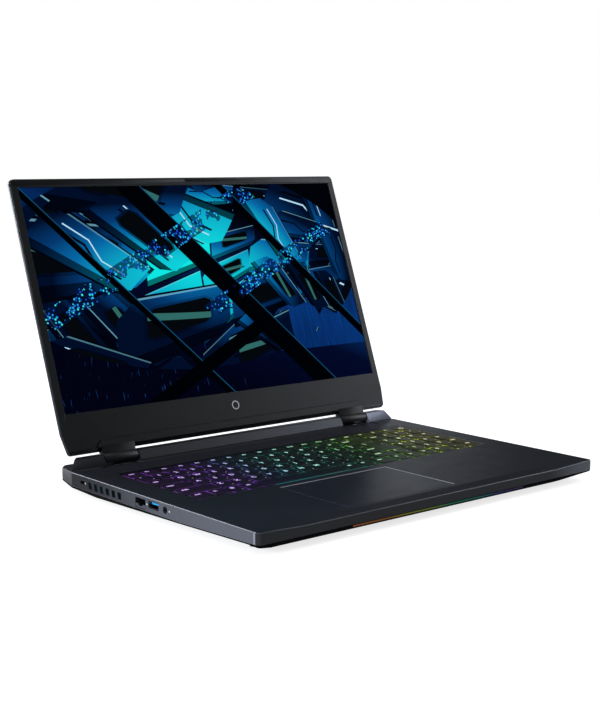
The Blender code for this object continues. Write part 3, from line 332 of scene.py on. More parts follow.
def object_from(name, bm, materials, body=None, lid=False, replaces=(), slot=None, angle=32):
    """Makes an object from a bmesh in millimetres, in the base's or the lid's coordinates. It is finished
    when a body is given, and otherwise settle() comes later."""
    bmesh.ops.recalc_face_normals(bm, faces=bm.faces)
    mesh = bpy.data.meshes.new(name)
    bm.to_mesh(mesh)
    bm.free()
    mesh.transform(Matrix.Scale(MM, 4) if lid else BASE)
    obj = bpy.data.objects.new(name, mesh)
    bpy.context.scene.collection.objects.link(obj)
    for made in materials if isinstance(materials, (list, tuple)) else [materials]:
        mesh.materials.append(made)
    smooth(mesh, angle)
    if lid:
        obj.matrix_world = LID
    if body:
        settle(obj, body, replaces, slot)
    return obj


def settle(obj, body, replaces=(), slot=None):
    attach(obj, body)
    if replaces:
        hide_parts(*replaces)


def slabs(name, materials, body, parts, **more):
    """A piece made of slabs. Each part holds the arguments of slab() after the first."""
    bm = bmesh.new()
    for part in parts:
        slab(bm, *part)
    object_from(name, bm, materials, body, **more)


def curve_into(bm, curve, move):
    """Adds a curve's mesh to a bmesh and removes the curve."""
    obj = bpy.data.objects.new(curve.name, curve)
    bpy.context.scene.collection.objects.link(obj)
    bpy.context.view_layer.update()
    mesh = bpy.data.meshes.new_from_object(obj.evaluated_get(bpy.context.evaluated_depsgraph_get()))
    mesh.transform(Matrix.Translation(move))
    bm.from_mesh(mesh)
    bpy.data.objects.remove(obj)
    bpy.data.curves.remove(curve)
    bpy.data.meshes.remove(mesh)


def cut(obj, cutters, angle=30):
    """Cuts other objects out of one and removes them."""
    for other in cutters:
        boolean = obj.modifiers.new("cut", "BOOLEAN")
        boolean.operation = "DIFFERENCE"
        boolean.object = other
    bpy.context.view_layer.update()
    evaluated = obj.evaluated_get(bpy.context.evaluated_depsgraph_get())
    mesh = bpy.data.meshes.new_from_object(evaluated)
    obj.modifiers.clear()
    obj.data = mesh
    for other in cutters:
        bpy.data.objects.remove(other)
    smooth(mesh, angle)


def cutter(rings, lid=False):
    bm = bmesh.new()
    loft(bm, rings)
    return object_from("cutter", bm, BLACK, lid=lid)


def block(x, y, z, lid=False):
    """A box-shaped cutter between two limits on each axis."""
    plan = ((x[0], y[0]), (x[1], y[0]), (x[1], y[1]), (x[0], y[1]))
    return cutter([[(a, b, c) for a, b in plan] for c in z], lid)


def along_x(outline, x):
    """A cutter with an outline in (depth, height) between two X limits."""
    return cutter([[(value, d, z) for d, z in outline] for value in x])


def along_y(outline, depth):
    """A cutter with an outline in (X, height) between two depths."""
    return cutter([[(x, value, z) for x, z in outline] for value in depth])


def opening_edge(name, material, outer, inner, low, rise, fall):
    """A thin strip round an opening. Its top slopes from rise at the outside to fall at the inside."""
    bm = bmesh.new()
    levels = [(outer, low), (outer, rise), (inner, fall), (inner, low)]
    loops = loft(bm, [[(x, y, z) for x, y in outline()] for outline, z in levels], first=False, last=False)
    for quad in quads(loops[-1], loops[0]):
        bm.faces.new(quad)
    object_from(name, bm, material, "base")


# ---------------------------------------------------------------- base covers

def parting(depth):
    return 7.5 + 2.7 * max(0, 1 - depth / TAPER)


def front_outline(half, near, radius):
    left = list(arc(-half + radius, near + radius, radius, 180, 270, 8))
    right = list(arc(half - radius, near + radius, radius, 270, 360, 8))
    between = [(x, near) for x in (*range(-188, -139, 12), *range(140, 189, 12))]
    return [(-half, TAPER), (-half, 14), *left, *between, *right, (half, 14), (half, TAPER)]


def lip(x, d):
    """How far the front lip drops. It fades out towards the corners."""
    fade = share(abs(x), 194, 150)
    return LIP_DROP * fade * fade * (3 - 2 * fade) * max(0, (LIP_END - d) / LIP_END)


def deck():
    """The palm rest cover: flat top, sloping front lip, rounded edge and side band."""
    def ring(inset, near, height):
        outline = front_outline(HALF - inset, near, max(4 - inset, 0.6))
        outline = [(inset - HALF, DECK_END), *outline, (HALF - inset, DECK_END)]
        return [(x, d, height(x, d)) for x, d in outline][::-1]

    def level(inset, near, z):
        """A flat ring behind the lip."""
        return [(x, max(d, LIP_END), z) for x, d, _ in ring(inset, near, lambda x, d: z)]

    edge, wall = 0.8, 1.8
    rings = [level(edge, 0.9, TOP)]
    for inset, drop in fillet(edge, 4):
        rings.append(ring(inset, inset * 0.9, lambda x, d, drop=drop: TOP - lip(x, d) - drop))
    rings.append(ring(0, 0, lambda x, d: parting(d) + 0.35))
    rings.append(ring(0.35, 0.35, lambda x, d: parting(d)))
    rings.append(ring(wall, wall, lambda x, d: parting(d)))
    rings.append(ring(wall, wall, lambda x, d: TOP - lip(x, d) - wall))
    rings.append(level(wall, wall, TOP - wall))
    bm = bmesh.new()
    loops = [[bm.verts.new(p) for p in r] for r in rings]
    for a, b in zip(loops, loops[1:]):
        for i in range(len(a) - 1):
            bm.faces.new((a[i], b[i], b[i + 1], a[i + 1]))
    bm.faces.new(loops[0])
    bm.faces.new(loops[-1][::-1])
    bm.faces.new([*[r[0] for r in loops], *[r[-1] for r in loops[::-1]]])
    bmesh.ops.remove_doubles(bm, verts=bm.verts, dist=0.001)
    obj = object_from("deck_cover", bm, [DECK, SIDE])

    def side_opening(side, outline):
        return along_x(outline, sorted((side * 204, side * 195)))

    keyboard, pad = ((-172.4, 179.2), (112.7, 234.6)), ((-94, 30.9), (16.5, 102.6))
    openings = [block(*plan, (12, 30)) for plan in (keyboard, pad)]
    openings.append(block(*RIDGE_SEAT, (19.1, 30)))
    for depth, side in USB.values():
        openings.append(side_opening(side, rounded(depth - 7.35, depth + 7.35, 11.15, 17.65, 0.8)()))
    network, audio = rounded(149.25, 163.95, 8.45, 17.15, 0.6)(), list(arc(121, 14, 3.1, 0, 345, 23))
    lock_slot = rounded(243, 250, 12.5, 15.5, 1.2)()
    openings.extend(side_opening(-1, outline) for outline in (network, audio, lock_slot))
    low, slope = 10, 0.2
    for side in (-1, 1):
        for i in range(6):
            middle = 233.4 - 9.2 * i
            slot = rounded(middle - 2.7, middle + 2.7, low, 16, 0.7, 3)()
            openings.append(side_opening(side, [(d + (z - low) * slope, z) for d, z in slot]))
    cut(obj, openings)

    finishes = [DECK, SIDE, EDGE_HIGHLIGHT, LIP_HIGHLIGHT, FRONT]
    obj.data.materials.clear()
    for made in finishes:
        obj.data.materials.append(made)
    # The side bevel takes the light cut edge, partly a painted highlight, and the upper front fillet takes a
    # painted highlight line.
    front_face, side_face = FRONT_Y + 0.0045, 0.1975
    upright, leaning = 0.97, 0.3
    for polygon in obj.data.polygons:
        centre, normal = polygon.center, polygon.normal
        finish = DECK
        if abs(centre.x) > side_face and centre.y > front_face and abs(normal.x) > leaning:
            finish = SIDE if abs(normal.x) > upright else EDGE_HIGHLIGHT
        elif centre.y < front_face and abs(normal.z) < upright:
            finish = LIP_HIGHLIGHT if normal.z > leaning else FRONT
        polygon.material_index = finishes.index(finish)
    settle(obj, "base", ["palm_rest_deck"], "deck_metal")

    # A light strip down each side band's front end: a cut edge, partly a painted highlight.
    for name, side in (("corner_trim_left", -1), ("corner_trim_right", 1)):
        bm = bmesh.new()
        slab(bm, rounded(4.9, 6.3, parting(5) + 0.4, 19.3, 0.3), 199.2, 200.1, 0.15)
        bm.transform(Matrix(((0, 0, side, 0), (1, 0, 0, 0), (0, 1, 0, 0), (0, 0, 0, 1))))
        object_from(name, bm, EDGE_HIGHLIGHT, "base", slot="deck_metal")


def side_fins():
    """The heat sink's edge, seen through the side vents, tinted teal in patches as painted glints."""
    for name, side in (("vent_fins_left", -1), ("vent_fins_right", 1)):
        x = sorted((side * 194, side * 197.6))
        depths = [182 + 3.2 * i for i in range(18)]
        slabs(name, FIN_GLINTS, "base", [(rounded(*x, d, d + 1.1, 0.2, 1), 8.8, 17.2, 0.15) for d in depths])


def bottom():
    """The lower cover: a short upright rim, a long slope inwards and a flat underside with vents."""
    rear = [(HALF, 225), (HALF, DECK_END), (192, 294), (184, DEPTH)]
    rear_left = [(-x, d) for x, d in reversed(rear)]
    floor, wall = 2.5, 1.3
    rim = [*rear_left, *front_outline(HALF, 0.8, 3.6), *rear]

    def shrunk(inset, front, back, radius):
        """The plan pulled inwards, with a wider strip left at the front."""
        near = max(14, front + radius + 1)
        left, right = [*rear_left, (-HALF, TAPER), (-HALF, near)], [(HALF, near), (HALF, TAPER), *rear]
        left, right = ([(x - math.copysign(inset, x), min(d, DEPTH - back)) for x, d in points]
                       for points in (left, right))
        return [*left, *front_outline(HALF - inset, front, radius)[2:-2], *right]

    def band(x, d):
        """Lower edge of the upright rim: deep along the front, shallow along the sides."""
        front = share(d, 7, 1)
        deep = 3.3 - 2.4 * share(x, 150, 196) - 1.2 * share(x, -188, -198)
        side = 0.9 + 2.1 * max(0, min((d - TAPER) / (225 - TAPER), (DECK_END + 14 - d) / 53))
        return parting(d) - deep * front - side * (1 - front)

    def pulled(inset):
        return [(x - math.copysign(inset, x), min(max(d, 0.8 + inset), DEPTH - inset)) for x, d in rim]

    flat, soft = shrunk(22, 27, 14, 10), shrunk(20, 24.5, 12.4, 9)
    bm = bmesh.new()
    loft(bm, [
        [(x, d, floor) for x, d in flat], [(x, d, floor + 0.12) for x, d in soft],
        [(x, d, band(x, d)) for x, d in rim], [(x, d, band(x, d) + 0.3) for x, d in rim],
        [(x, d, parting(d) - 0.45) for x, d in rim], [(x, d, parting(d) - 0.45) for x, d in pulled(wall)],
        [(x, d, band(x, d) + 0.5) for x, d in pulled(4)], [(x, d, floor + wall) for x, d in flat],
    ])
    obj = object_from("under_cover", bm, UNDER_SHADED)
    openings = [block((-103.3, 103.3), (-2, 8), (8.05, 9.45))]
    for side in (-1, 1):
        for i in range(-4, 5):
            middle, half = 193 + i * 7, 30 - 1.2 * abs(i)
            bm = bmesh.new()
            slot = rounded(side * 135 - half, side * 135 + half, middle - 1.6, middle + 1.6, 1.5)
            slab(bm, slot, 0, 6, 0.05)
            openings.append(object_from("cutter", bm, BLACK))
    cut(obj, openings)
    settle(obj, "base", ["bottom_cover"], "black_plastic")


def light_strip():
    """The diffuser strip under the front edge."""
    slabs("front_light_strip", LIGHT, "base", [(rounded(-103, 103, 0.9, 3.4, 0.3), 8.1, 9.3, 0.2)],
          replaces=["light_bar"], slot="light_guide")


def housing():
    """The rear exhaust housing with its grilles."""
    half = [(200.2, DECK_END - 1), (199.2, 267.5), (192.4, 292.5), (191.4, 295), (185.4, 302.6), (183, DEPTH)]
    outline = [*half, *[(-x, d) for x, d in reversed(half)]]
    wall, fall = 1.6, 0.07
    through = (300, 308)

    def ring(inset, z):
        return [(x - math.copysign(inset, x), d if d < 265 else d - inset, z) for x, d in outline]

    bm = bmesh.new()
    loft(bm, [*[ring(i, TOP - d) for i, d in fillet(1.0, 3)], ring(0.1, 7.5)])
    for vert in bm.verts:  # the top falls towards the rear
        if vert.co.z > 15:
            vert.co.z -= max(0, vert.co.y - 267.5) * fall
    obj = object_from("rear_housing", bm, HOUSING)
    hollow = [(x - math.copysign(wall, x), 262 if d < 265 else d - wall) for x, d in outline]
    openings = [
        cutter([[(x, d, z) for x, d in hollow] for z in (5, 16.4)]),
        block((-205, 205), (255, DECK_END + 0.3), (0, 30)),
        block(RIDGE_SEAT[0], (254, 266.1), (19.1, 30)),
    ]
    for side in (-1, 1):
        openings.append(block(sorted((side * 123.7, side * 166.3)), (256, 283.5), (15, 25)))
        openings.append(block(sorted((side * 167, side * 174.5)), (270.5, 279.5), (15, 25)))
        for i in range(9):
            start = 92 + 9.4 * i
            grille = rounded(*sorted((side * start, side * (start + 7.4))), 9.8, 17.2, 0.9, 3)
            openings.append(along_y(grille(), through))
    gap, middle = 0.35, 13.4
    for x, width, height, radius in ((-30, 15, 5.4, 0.9), (-3, 9.4, 3.6, 2.0)):  # video and USB-C
        right, up = width / 2 + gap, height / 2 + gap
        openings.append(along_y(rounded(x - right, x + right, middle - up, middle + up, radius)(), through))
    openings.append(along_y(list(arc(28, middle, 3.95, 0, 345, 23)), through))  # power inlet
    cut(obj, openings)
    settle(obj, "base", ["exhaust_housing"], "housing_paint")


def ridge():
    """The raised hinge ridge in three solid blocks, with a gap for each barrel."""
    foot, shoulder = 266.3, 20.3

    def section(x, toe=0.0):
        """The ridge's cross-section at x. toe moves the foot of its front face to the rear."""
        rear_and_top = [(291, 18.2), (291, shoulder), (279.6, 28.6), (279, 28.9), (278.2, 29), (271.9, 29),
                        (271.2, 28.8), (270.8, 28.3)]
        return [(x, d, z) for d, z in (*rear_and_top, (foot + toe, 20.9), (foot + toe, 19.2))]

    bm = bmesh.new()
    loft(bm, [section(x) for x in (-124, -60, 60, 129.4)])
    for side, start in ((-1, 162), (1, 166.2)):
        # The end runs diagonally to the rear and leans inwards a little.
        waist = [(side * (187 - (d - foot) * 0.5), d, z) for x, d, z in section(0, 2.5)]
        end = [(side * (198.9 - max(z - shoulder, 0) * 0.2 - (d - foot) * 0.84), d, z)
               for x, d, z in section(0)]
        loft(bm, [section(side * start), waist, end])
    obj = object_from("ridge", bm, RIDGE, angle=25)
    bevel = obj.modifiers.new("edges", "BEVEL")
    bevel.width = 0.35 * MM
    bevel.segments = 2
    bevel.limit_method = "ANGLE"
    bevel.angle_limit = math.radians(30)
    bevel.harden_normals = True
    settle(obj, "base", ["hinge_ridge"], "deck_metal")


def touchpad():
    """The touchpad's surface and the light cut edge round its opening, partly a painted highlight."""
    opening_edge("touchpad_edge_highlight", EDGE_HIGHLIGHT, rounded(-94.2, 31.1, 16.3, 102.8, 1.0),
                 rounded(-93.45, 30.35, 17.05, 102.05, 0.6), 18.6, 20.04, 19.66)
    plate = (rounded(-93.2, 30.1, 17.3, 101.8, 0.6), 18.4, 19.66, 0.18)
    slabs("touchpad_surface", GLASS_PAD, "touchpad", [plate],
          replaces=["touchpad"], slot="touchpad_glass")


# ---------------------------------------------------------------- keyboard

KEY_LEFT, KEY_UNIT, PAD_LEFT, PAD_UNIT = -171.2, 18.4, 107.0, 17.5
ROW_NEAR, ROW_PITCH, FUNCTION_PITCH = 113.9, 19.6, 18.0
ARROW = 12.75
FUNCTION_ROW = 5


def key_limits(left, unit, widths):
    edge = left
    for width in widths:
        yield edge, edge + width * unit
        edge += width * unit


def main_keys(widths, start=0.0):
    return list(key_limits(KEY_LEFT + start * KEY_UNIT, KEY_UNIT, widths))


def pad_keys(count, start=0):
    return list(key_limits(PAD_LEFT + start * PAD_UNIT, PAD_UNIT, [1] * count))


ARROWS = main_keys([1, 1, 1], ARROW)
BANKS = {  # node: (row from the front, X limits, legends)
    "control_keys_left": (0, main_keys([1.15, 0.95, 0.9, 0.9]), ["ctrl", "fn", "#", "alt"]),
    "space_bar": (0, main_keys([5.5], 3.9), [""]),
    "control_keys_right": (0, main_keys([1, 1, 1.35], 9.4), ["alt", "=", "ctrl"]),
    "arrow_left_key": (0, [ARROWS[0]], ["<"]),
    "arrow_down_key": (0, [ARROWS[1]], ["v"]),
    "arrow_right_key": (0, [ARROWS[2]], [">"]),
    "arrow_up_key": (1, [ARROWS[1]], ["^"]),
    "number_pad_front_keys": (0, [(ARROWS[2][1], pad_keys(2)[1][1]), *pad_keys(2, 2)], ["0", ".", "ent"]),
    "shift_row_keys": (1, main_keys([2.25, *[1] * 10, 1.5]), ["shift", *"ZXCVBNM,./", "shift"]),
    "number_pad_second_keys": (1, pad_keys(4), ["1", "2", "3", "end"]),
    "home_row_keys": (2, [*main_keys([1.75, *[1] * 11, 2.25]), *pad_keys(4)],
                      ["caps", *"ASDFGHJKL;'", "enter", "4", "5", "6", "dn"]),
    "upper_row_keys": (3, [*main_keys([1.5, *[1] * 12, 1.5]), *pad_keys(4)],
                       ["tab", *"QWERTYUIOP[]", "\\", "7", "8", "9", "up"]),
    "number_row_keys": (4, [*main_keys([*[1] * 13, 2]), *pad_keys(4)],
                        ["`", *"1234567890-=", "back", "num", "/", "*", "-"]),
    "function_row_keys": (5, [*main_keys([1] * 15), *pad_keys(3)],
                          ["esc", *[f"F{i}" for i in range(1, 13)], "prt", "del", "|<", "||", ">|"]),
    "power_button": (5, pad_keys(1, 3), [""]),
}


def text_into(bm, text, size, x, y, z):
    """Adds a word, drawn with Blender's own font, as a thin raised shape."""
    curve = bpy.data.curves.new("legend", "FONT")
    curve.body = text
    curve.size = size
    curve.extrude = 0.02
    curve.offset = size * 0.028
    curve.resolution_u = 2
    curve.align_x = "CENTER"
    curve.align_y = "CENTER"
    curve_into(bm, curve, (x, y, z))


def keycap(bm, low, high, near, far):
    """One cap: a skirt with painted glints of the backlight, rounded edges and a slightly dished top."""
    outline = rounded(low, high, near, far, 1.3, 3)
    skirt_top = 19.3
    loft(bm, [[(x, y, 18.0) for x, y in outline(0.0)], [(x, y, skirt_top) for x, y in outline(0.12)]],
         last=False, material=1)
    profile = [(0.12, skirt_top), (0.2, 19.75), (0.4, 20.0), (0.75, 20.1), (1.6, 20.08)]
    loops = loft(bm, [[(x, y, z) for x, y in outline(i)] for i, z in profile], first=False, last=False)
    dish = [bm.verts.new((x, y, 19.98)) for x, y in outline(min(high - low, far - near) * 0.3)]
    for quad in quads(loops[-1], dish):
        bm.faces.new(quad)
    bm.faces.new(dish)


def power_sign(bm, x, y):
    """An open ring with a stroke in its gap."""
    ring = [*arc(x, y, 2.6, 120, 420, 16), *[*arc(x, y, 2.1, 120, 420, 16)][::-1]]
    stroke = [(x - 0.25, y + 0.4), (x + 0.25, y + 0.4), (x + 0.25, y + 3), (x - 0.25, y + 3)]
    for outline in (ring, stroke):
        loft(bm, [[(a, b, z) for a, b in outline] for z in (20.0, 20.12)])


def keys():
    gap, face = 2.2, 20.1
    for node, (row, limits, legends) in BANKS.items():
        near = ROW_NEAR + row * ROW_PITCH + gap / 2
        far = near - gap + (FUNCTION_PITCH if row == FUNCTION_ROW else ROW_PITCH)
        bm, marks = bmesh.new(), bmesh.new()
        for (low, high), legend in zip(limits, legends):
            low, high = low + gap / 2, high - gap / 2
            keycap(bm, low, high, near, far)
            if len(legend) == 1:
                text_into(marks, legend, 6.6, low + 5.0, far - 5.2, face)
                if row < FUNCTION_ROW:
                    text_into(marks, "-", 3.8, high - 4.2, near + 4.2, face - 0.02)
            elif legend:
                text_into(marks, legend, 4.4, low + 2.2 + len(legend) * 1.3, far - 5.2, face)
        bmesh.ops.remove_doubles(bm, verts=bm.verts, dist=0.001)
        object_from(node + "_caps", bm, [KEYCAP_GLOW, SKIRT_GLINTS], node, replaces=[node], slot="keycap", angle=50)
        if node == "power_button":
            power_sign(marks, sum(limits[0]) / 2, (near + far) / 2)
        if len(marks.verts):
            object_from(node + "_legends", marks, LEGEND, node, slot="light_guide")
        else:
            marks.free()


def key_tray():
    """The dark tray under the keys, with the lit film, a painted highlight along the left part of the recess's
    back edge and a painted glow on its front wall.
    """
    slabs("key_light_film", UNDERGLOW, "base", [(rounded(-175, 182, 109, 238, 1.5), 14.8, 16.1, 0.2)],
          replaces=["keyboard_plate"], slot="black_plastic")
    opening_edge("key_recess_edge", RIDGE, rounded(-172.9, 179.7, 112.2, 235.1, 0.9),
                 rounded(-172.3, 179.1, 112.8, 234.5, 0.7), 17.6, 20.03, 19.6)
    # Painted highlight: a light strip along the left part of the recess's back edge.
    slabs("key_recess_back_highlight", SIDE, "base",
          [(rounded(-172, -95, 234.4, 235.9, 0.3, 1), 19.2, 20.08, 0.1)])
    slabs("key_dividers", BLACK, "base", [(rounded(104.3, 107.6, 134.5, 233.8, 0.4, 1), 16.2, 19.5, 0.2),
                                          (rounded(101, 104.2, 134.5, 152.5, 0.4, 1), 16.2, 19.5, 0.2)])
    # Painted light: the keys' glow on the recess's front wall.
    slabs("key_front_painted_spill", PAINTED_FRONT_GLOW, "base",
          [(rounded(-90, 26, 111.9, 112.75, 0.2, 1), 19.4, 20.15, 0.1)], slot="light_guide")


# ---------------------------------------------------------------- lid

def lid_outline(inset=0.0):
    """The lid's outline: narrower below the knees, a little more so on the left."""
    half, foot, top = 198.5 - inset, FOOT + inset, 269 - inset
    low_radius, top_radius = 3.0, 4.5

    def side(waist):
        return [*arc(half - waist - low_radius, foot + low_radius, low_radius, -90, 0, 6), (half, foot + 20),
                *arc(half - top_radius, top - top_radius, top_radius, 0, 90, 6)]

    return [*side(2.2), *[(-x, s) for x, s in reversed(side(3.2))]]


def lid_back():
    outer = [(3.4, -3.8), (2.2, -3.72), (1.3, -3.4), (0.6, -2.7), (0.15, -1.6), (0, -0.6), (0, 1.0), (0.4, 1.6)]
    inner = [(1.7, 1.6), (1.6, 0.6), (1.9, -1.5), (3.6, -2.6)]
    bm = bmesh.new()
    loft(bm, [[(x, s, t) for x, s in lid_outline(inset)] for inset, t in (*outer, *inner)])
    obj = object_from("lid_shell", bm, LID_METAL, lid=True)
    cut(obj, [block((x0 - 0.6, x1 + 0.6), (0, 12.6), (-6, 4), lid=True) for x0, x1 in BARRELS.values()])
    settle(obj, "lid", ["lid_back_cover"], "deck_metal")


def plate_with_holes(name, outlines, low, high, material):
    """A lid plate with holes and softened edges, from a filled 2D curve."""
    edge = 0.15
    curve = bpy.data.curves.new(name, "CURVE")
    curve.dimensions = "2D"
    curve.fill_mode = "BOTH"
    curve.extrude = (high - low) / 2 - edge
    curve.bevel_depth = edge
    curve.bevel_resolution = 1
    curve.offset = -edge
    for points in outlines:
        spline = curve.splines.new("POLY")
        spline.points.add(len(points) - 1)
        for point, (x, y) in zip(spline.points, points):
            point.co = (x, y, 0, 1)
        spline.use_cyclic_u = True
    bm = bmesh.new()
    curve_into(bm, curve, (0, 0, (low + high) / 2))
    bmesh.ops.remove_doubles(bm, verts=bm.verts, dist=0.001)
    return object_from(name, bm, material, lid=True)


def strip_outline(margin):
    half, low, high = 165 + margin, FOOT + 3.6, 18.2 + margin
    return [(-half, low), (half, low), (half, high - 5), (half - 5, high), (5 - half, high), (-half, high - 5)]


def bezel():
    window = rounded(-191.2, 191.2, 45.4, 260.6, 0.5, 2)()
    edge = [(x, max(s, FOOT + 1.6)) for x, s in lid_outline(0.4)]
    camera_hole = list(arc(0, CAMERA_UP, 1.5, 0, 345, 23))
    obj = plate_with_holes("screen_bezel", [edge, window, camera_hole], 1.7, 3.2, BEZEL)
    notch = strip_outline(0.3)
    notch[0], notch[1] = (notch[0][0], 0), (notch[1][0], 0)
    cut(obj, [cutter([[(x, s, t) for x, s in notch] for t in (0, 6)], lid=True)])
    settle(obj, "lid", ["display_bezel"], "black_plastic")


def hinge_strip():
    """The strip under the screen with its sloping lower edge, and the barrels that hide the hinges."""
    face, back = strip_outline(0), strip_outline(-0.3)
    low = [(x, FOOT + 0.5 if s < 12 else s) for x, s in face]
    bm = bmesh.new()
    loft(bm, [[(x, s, 1.7) for x, s in low], [(x, s, 3.8) for x, s in face], [(x, s, 4.1) for x, s in back]])
    obj = object_from("hinge_strip", bm, BEZEL, lid=True, angle=25)
    cut(obj, [block((x0 - 0.3, x1 + 0.3), (0, 12.4), (0, 6), lid=True) for x0, x1 in BARRELS.values()], 25)
    settle(obj, "lid", ["hinge_cover_strip"], "black_plastic")
    radius, tongue = 6, 12.6
    lean = math.degrees(math.asin(3.4 / radius))

    def ring(x, inset):
        """A barrel's cross-section: round about the hinge axis, with a flat tongue up to the strip."""
        points = [(tongue, 4.1 - inset), (9, 3.7 - inset),
                  *arc(0, 0, radius - inset, lean, 360 - lean, 36), (tongue, -3.4 + inset)]
        return [(x, s, t) for s, t in points]

    for name, (x0, x1) in BARRELS.items():
        bm = bmesh.new()
        ends = [(x0, 0.5), (x0 + 0.15, 0.15), (x0 + 0.5, 0), (x1 - 0.5, 0), (x1 - 0.15, 0.15), (x1, 0.5)]
        loft(bm, [ring(x, inset) for x, inset in ends])
        object_from(name, bm, BARREL, "lid", lid=True, slot="black_plastic")


def camera_and_mark():
    """The camera's lens and the plain ring on the chin."""
    bm = bmesh.new()
    profile = [(1.0, 1.4), (2.9, 1.4), (2.95, 1.3), (2.7, 1.1), (2.65, 0.001)]
    turned(bm, (0, CAMERA_UP, 0), (0, 0, 1), profile, 24)
    object_from("camera_lens", bm, BLACK, "lid", lid=True, replaces=["webcam_module"], slot="black_plastic")
    bm = bmesh.new()
    profile = [(0, 4.4), (0.16, 4.4), (0.2, 4.3), (0.2, 3.5), (0.1, 3.4), (0, 3.4)]
    turned(bm, (0, 32.2, 3.1), (0, 0, 1), profile, 40)
    object_from("chin_ring_mark", bm, PRINT, "lid", lid=True)


# ---------------------------------------------------------------- screen picture

WALL_TONES = (
    (0.0, (0.0004, 0.0006, 0.006)), (0.45, (0.0006, 0.003, 0.022)), (0.62, (0.001, 0.02, 0.1)),
    (0.75, (0.0006, 0.006, 0.03)), (1.0, (0.0003, 0.0006, 0.002)),
)
PLATE_TONES = (  # from the middle of the picture to its corners
    (0.0, (0.004, 0.8, 0.76)), (0.24, (0.004, 0.6, 0.68)), (0.44, (0.004, 0.36, 0.55)),
    (0.62, (0.002, 0.14, 0.38)), (0.8, (0.001, 0.04, 0.16)), (1.0, (0.0003, 0.004, 0.02)),
)
SPARK_TONES = ((0.0, (0.01, 0.04, 0.6)), (0.5, (0.01, 0.28, 0.9)), (1.0, (0.05, 0.85, 0.75)))
SHEETS = (  # hub, plates round it, rings, turn, share of empty places
    ((2.4, 0.9), 8.0, 1.1, 0.2, 0.45), ((-3.2, 2.2), 7.0, 1.25, 0.5, 0.4),
    ((2.9, 0.25), 5.2, 0.8, 0.35, 0.3), ((2.2, -1.9), 7.5, 1.2, 0.1, 0.55),
)
BEAMS = ((0.2, 0.11), (-0.72, 0.035), (1.02, 0.045))  # middle and half width
BEAM = (0.0, 0.0003, 0.001)


class Field:
    """A number that varies over a surface, with Python's operators building Math nodes."""

    def __init__(self, tree, socket):
        self.tree, self.socket = tree, socket

    def math(self, operation, *others):
        node = self.tree.nodes.new("ShaderNodeMath")
        node.operation = operation
        for socket, value in zip(node.inputs, (self, *others)):
            if isinstance(value, Field):
                self.tree.links.new(value.socket, socket)
            else:
                socket.default_value = value
        return Field(self.tree, node.outputs[0])

    def __add__(self, other):
        return self.math("ADD", other)

    def __sub__(self, other):
        return self.math("SUBTRACT", other)

    def __mul__(self, other):
        return self.math("MULTIPLY", other)

    def __gt__(self, other):
        return self.math("GREATER_THAN", other)

    def __lt__(self, other):
        return self.math("LESS_THAN", other)

    def inside(self, low, high):
        return (self > low) * (self < high)

    def off(self):
        """1 minus the field."""
        return self.math("MULTIPLY", -1) + 1

    def largest(self, other):
        return self.math("MAXIMUM", other)

    def near(self, value, half_width):
        return (self - value).math("ABSOLUTE") < half_width


def vector(tree, *parts):
    node = add(tree, "ShaderNodeCombineXYZ")
    for socket, part in zip(node.inputs, parts):
        if isinstance(part, Field):
            tree.links.new(part.socket, socket)
        else:
            socket.default_value = part
    return node.outputs[0]


def painted(tree, under, over, share):
    """Lays one colour over another where share is 1."""
    node = add(tree, "ShaderNodeMix", data_type="RGBA")
    tree.links.new(share.socket, node.inputs["Factor"])
    for socket, colour in ((node.inputs[6], under), (node.inputs[7], over)):
        if isinstance(colour, tuple):
            socket.default_value = (*colour, 1)
        else:
            tree.links.new(colour, socket)
    return node.outputs[2]


def dimmed(tree, colour, share):
    return painted(tree, (0.0, 0.0, 0.0), colour, share)


def fan_of_plates(tree, x, y, hub, rows, rings, turn):
    """Plates fanned round a hub. Gives (along, across, three random numbers) for each plate."""
    dx, dy = x * -1 + hub[0], y - hub[1]
    angle = dy.math("ARCTAN2", dx) * rows + turn
    across, row = angle.math("FRACT"), angle.math("FLOOR")
    reach = (dx * dx + dy * dy).math("LOGARITHM", 2.0) * rings
    reach = reach + row * 0.37 + across * 0.16
    along, cell = reach.math("FRACT"), reach.math("FLOOR")
    random_node = add(tree, "ShaderNodeTexWhiteNoise", noise_dimensions="3D")
    tree.links.new(vector(tree, row, cell, turn), random_node.inputs["Vector"])
    split = add(tree, "ShaderNodeSeparateXYZ")
    tree.links.new(random_node.outputs["Color"], split.inputs[0])
    return along, across, [Field(tree, split.outputs[i]) for i in range(3)]


def wall(tree, x, y):
    """The dim wall behind the plates, with streaks at the lower right and rain at the lower left."""
    colour = ramp(tree, (y * 0.5 + x * 0.22 + 0.5).socket, WALL_TONES)
    streak = Field(tree, noise(tree, 1, 2, (900, 22, 1)))
    lower_right = (x > 0.75) * (y < 0.1) * (y > -0.72)
    shade = lower_right * (streak * 1.6 - 0.35).math("MINIMUM", 1.0)
    colour = painted(tree, colour, (0.003, 0.05, 0.26), shade)
    rain = (Field(tree, noise(tree, 1, 1, (420, 60, 1))) > 0.7) * (y < -0.3) * (x < 0.2)
    return painted(tree, colour, (0.005, 0.03, 0.12), rain * 0.7)


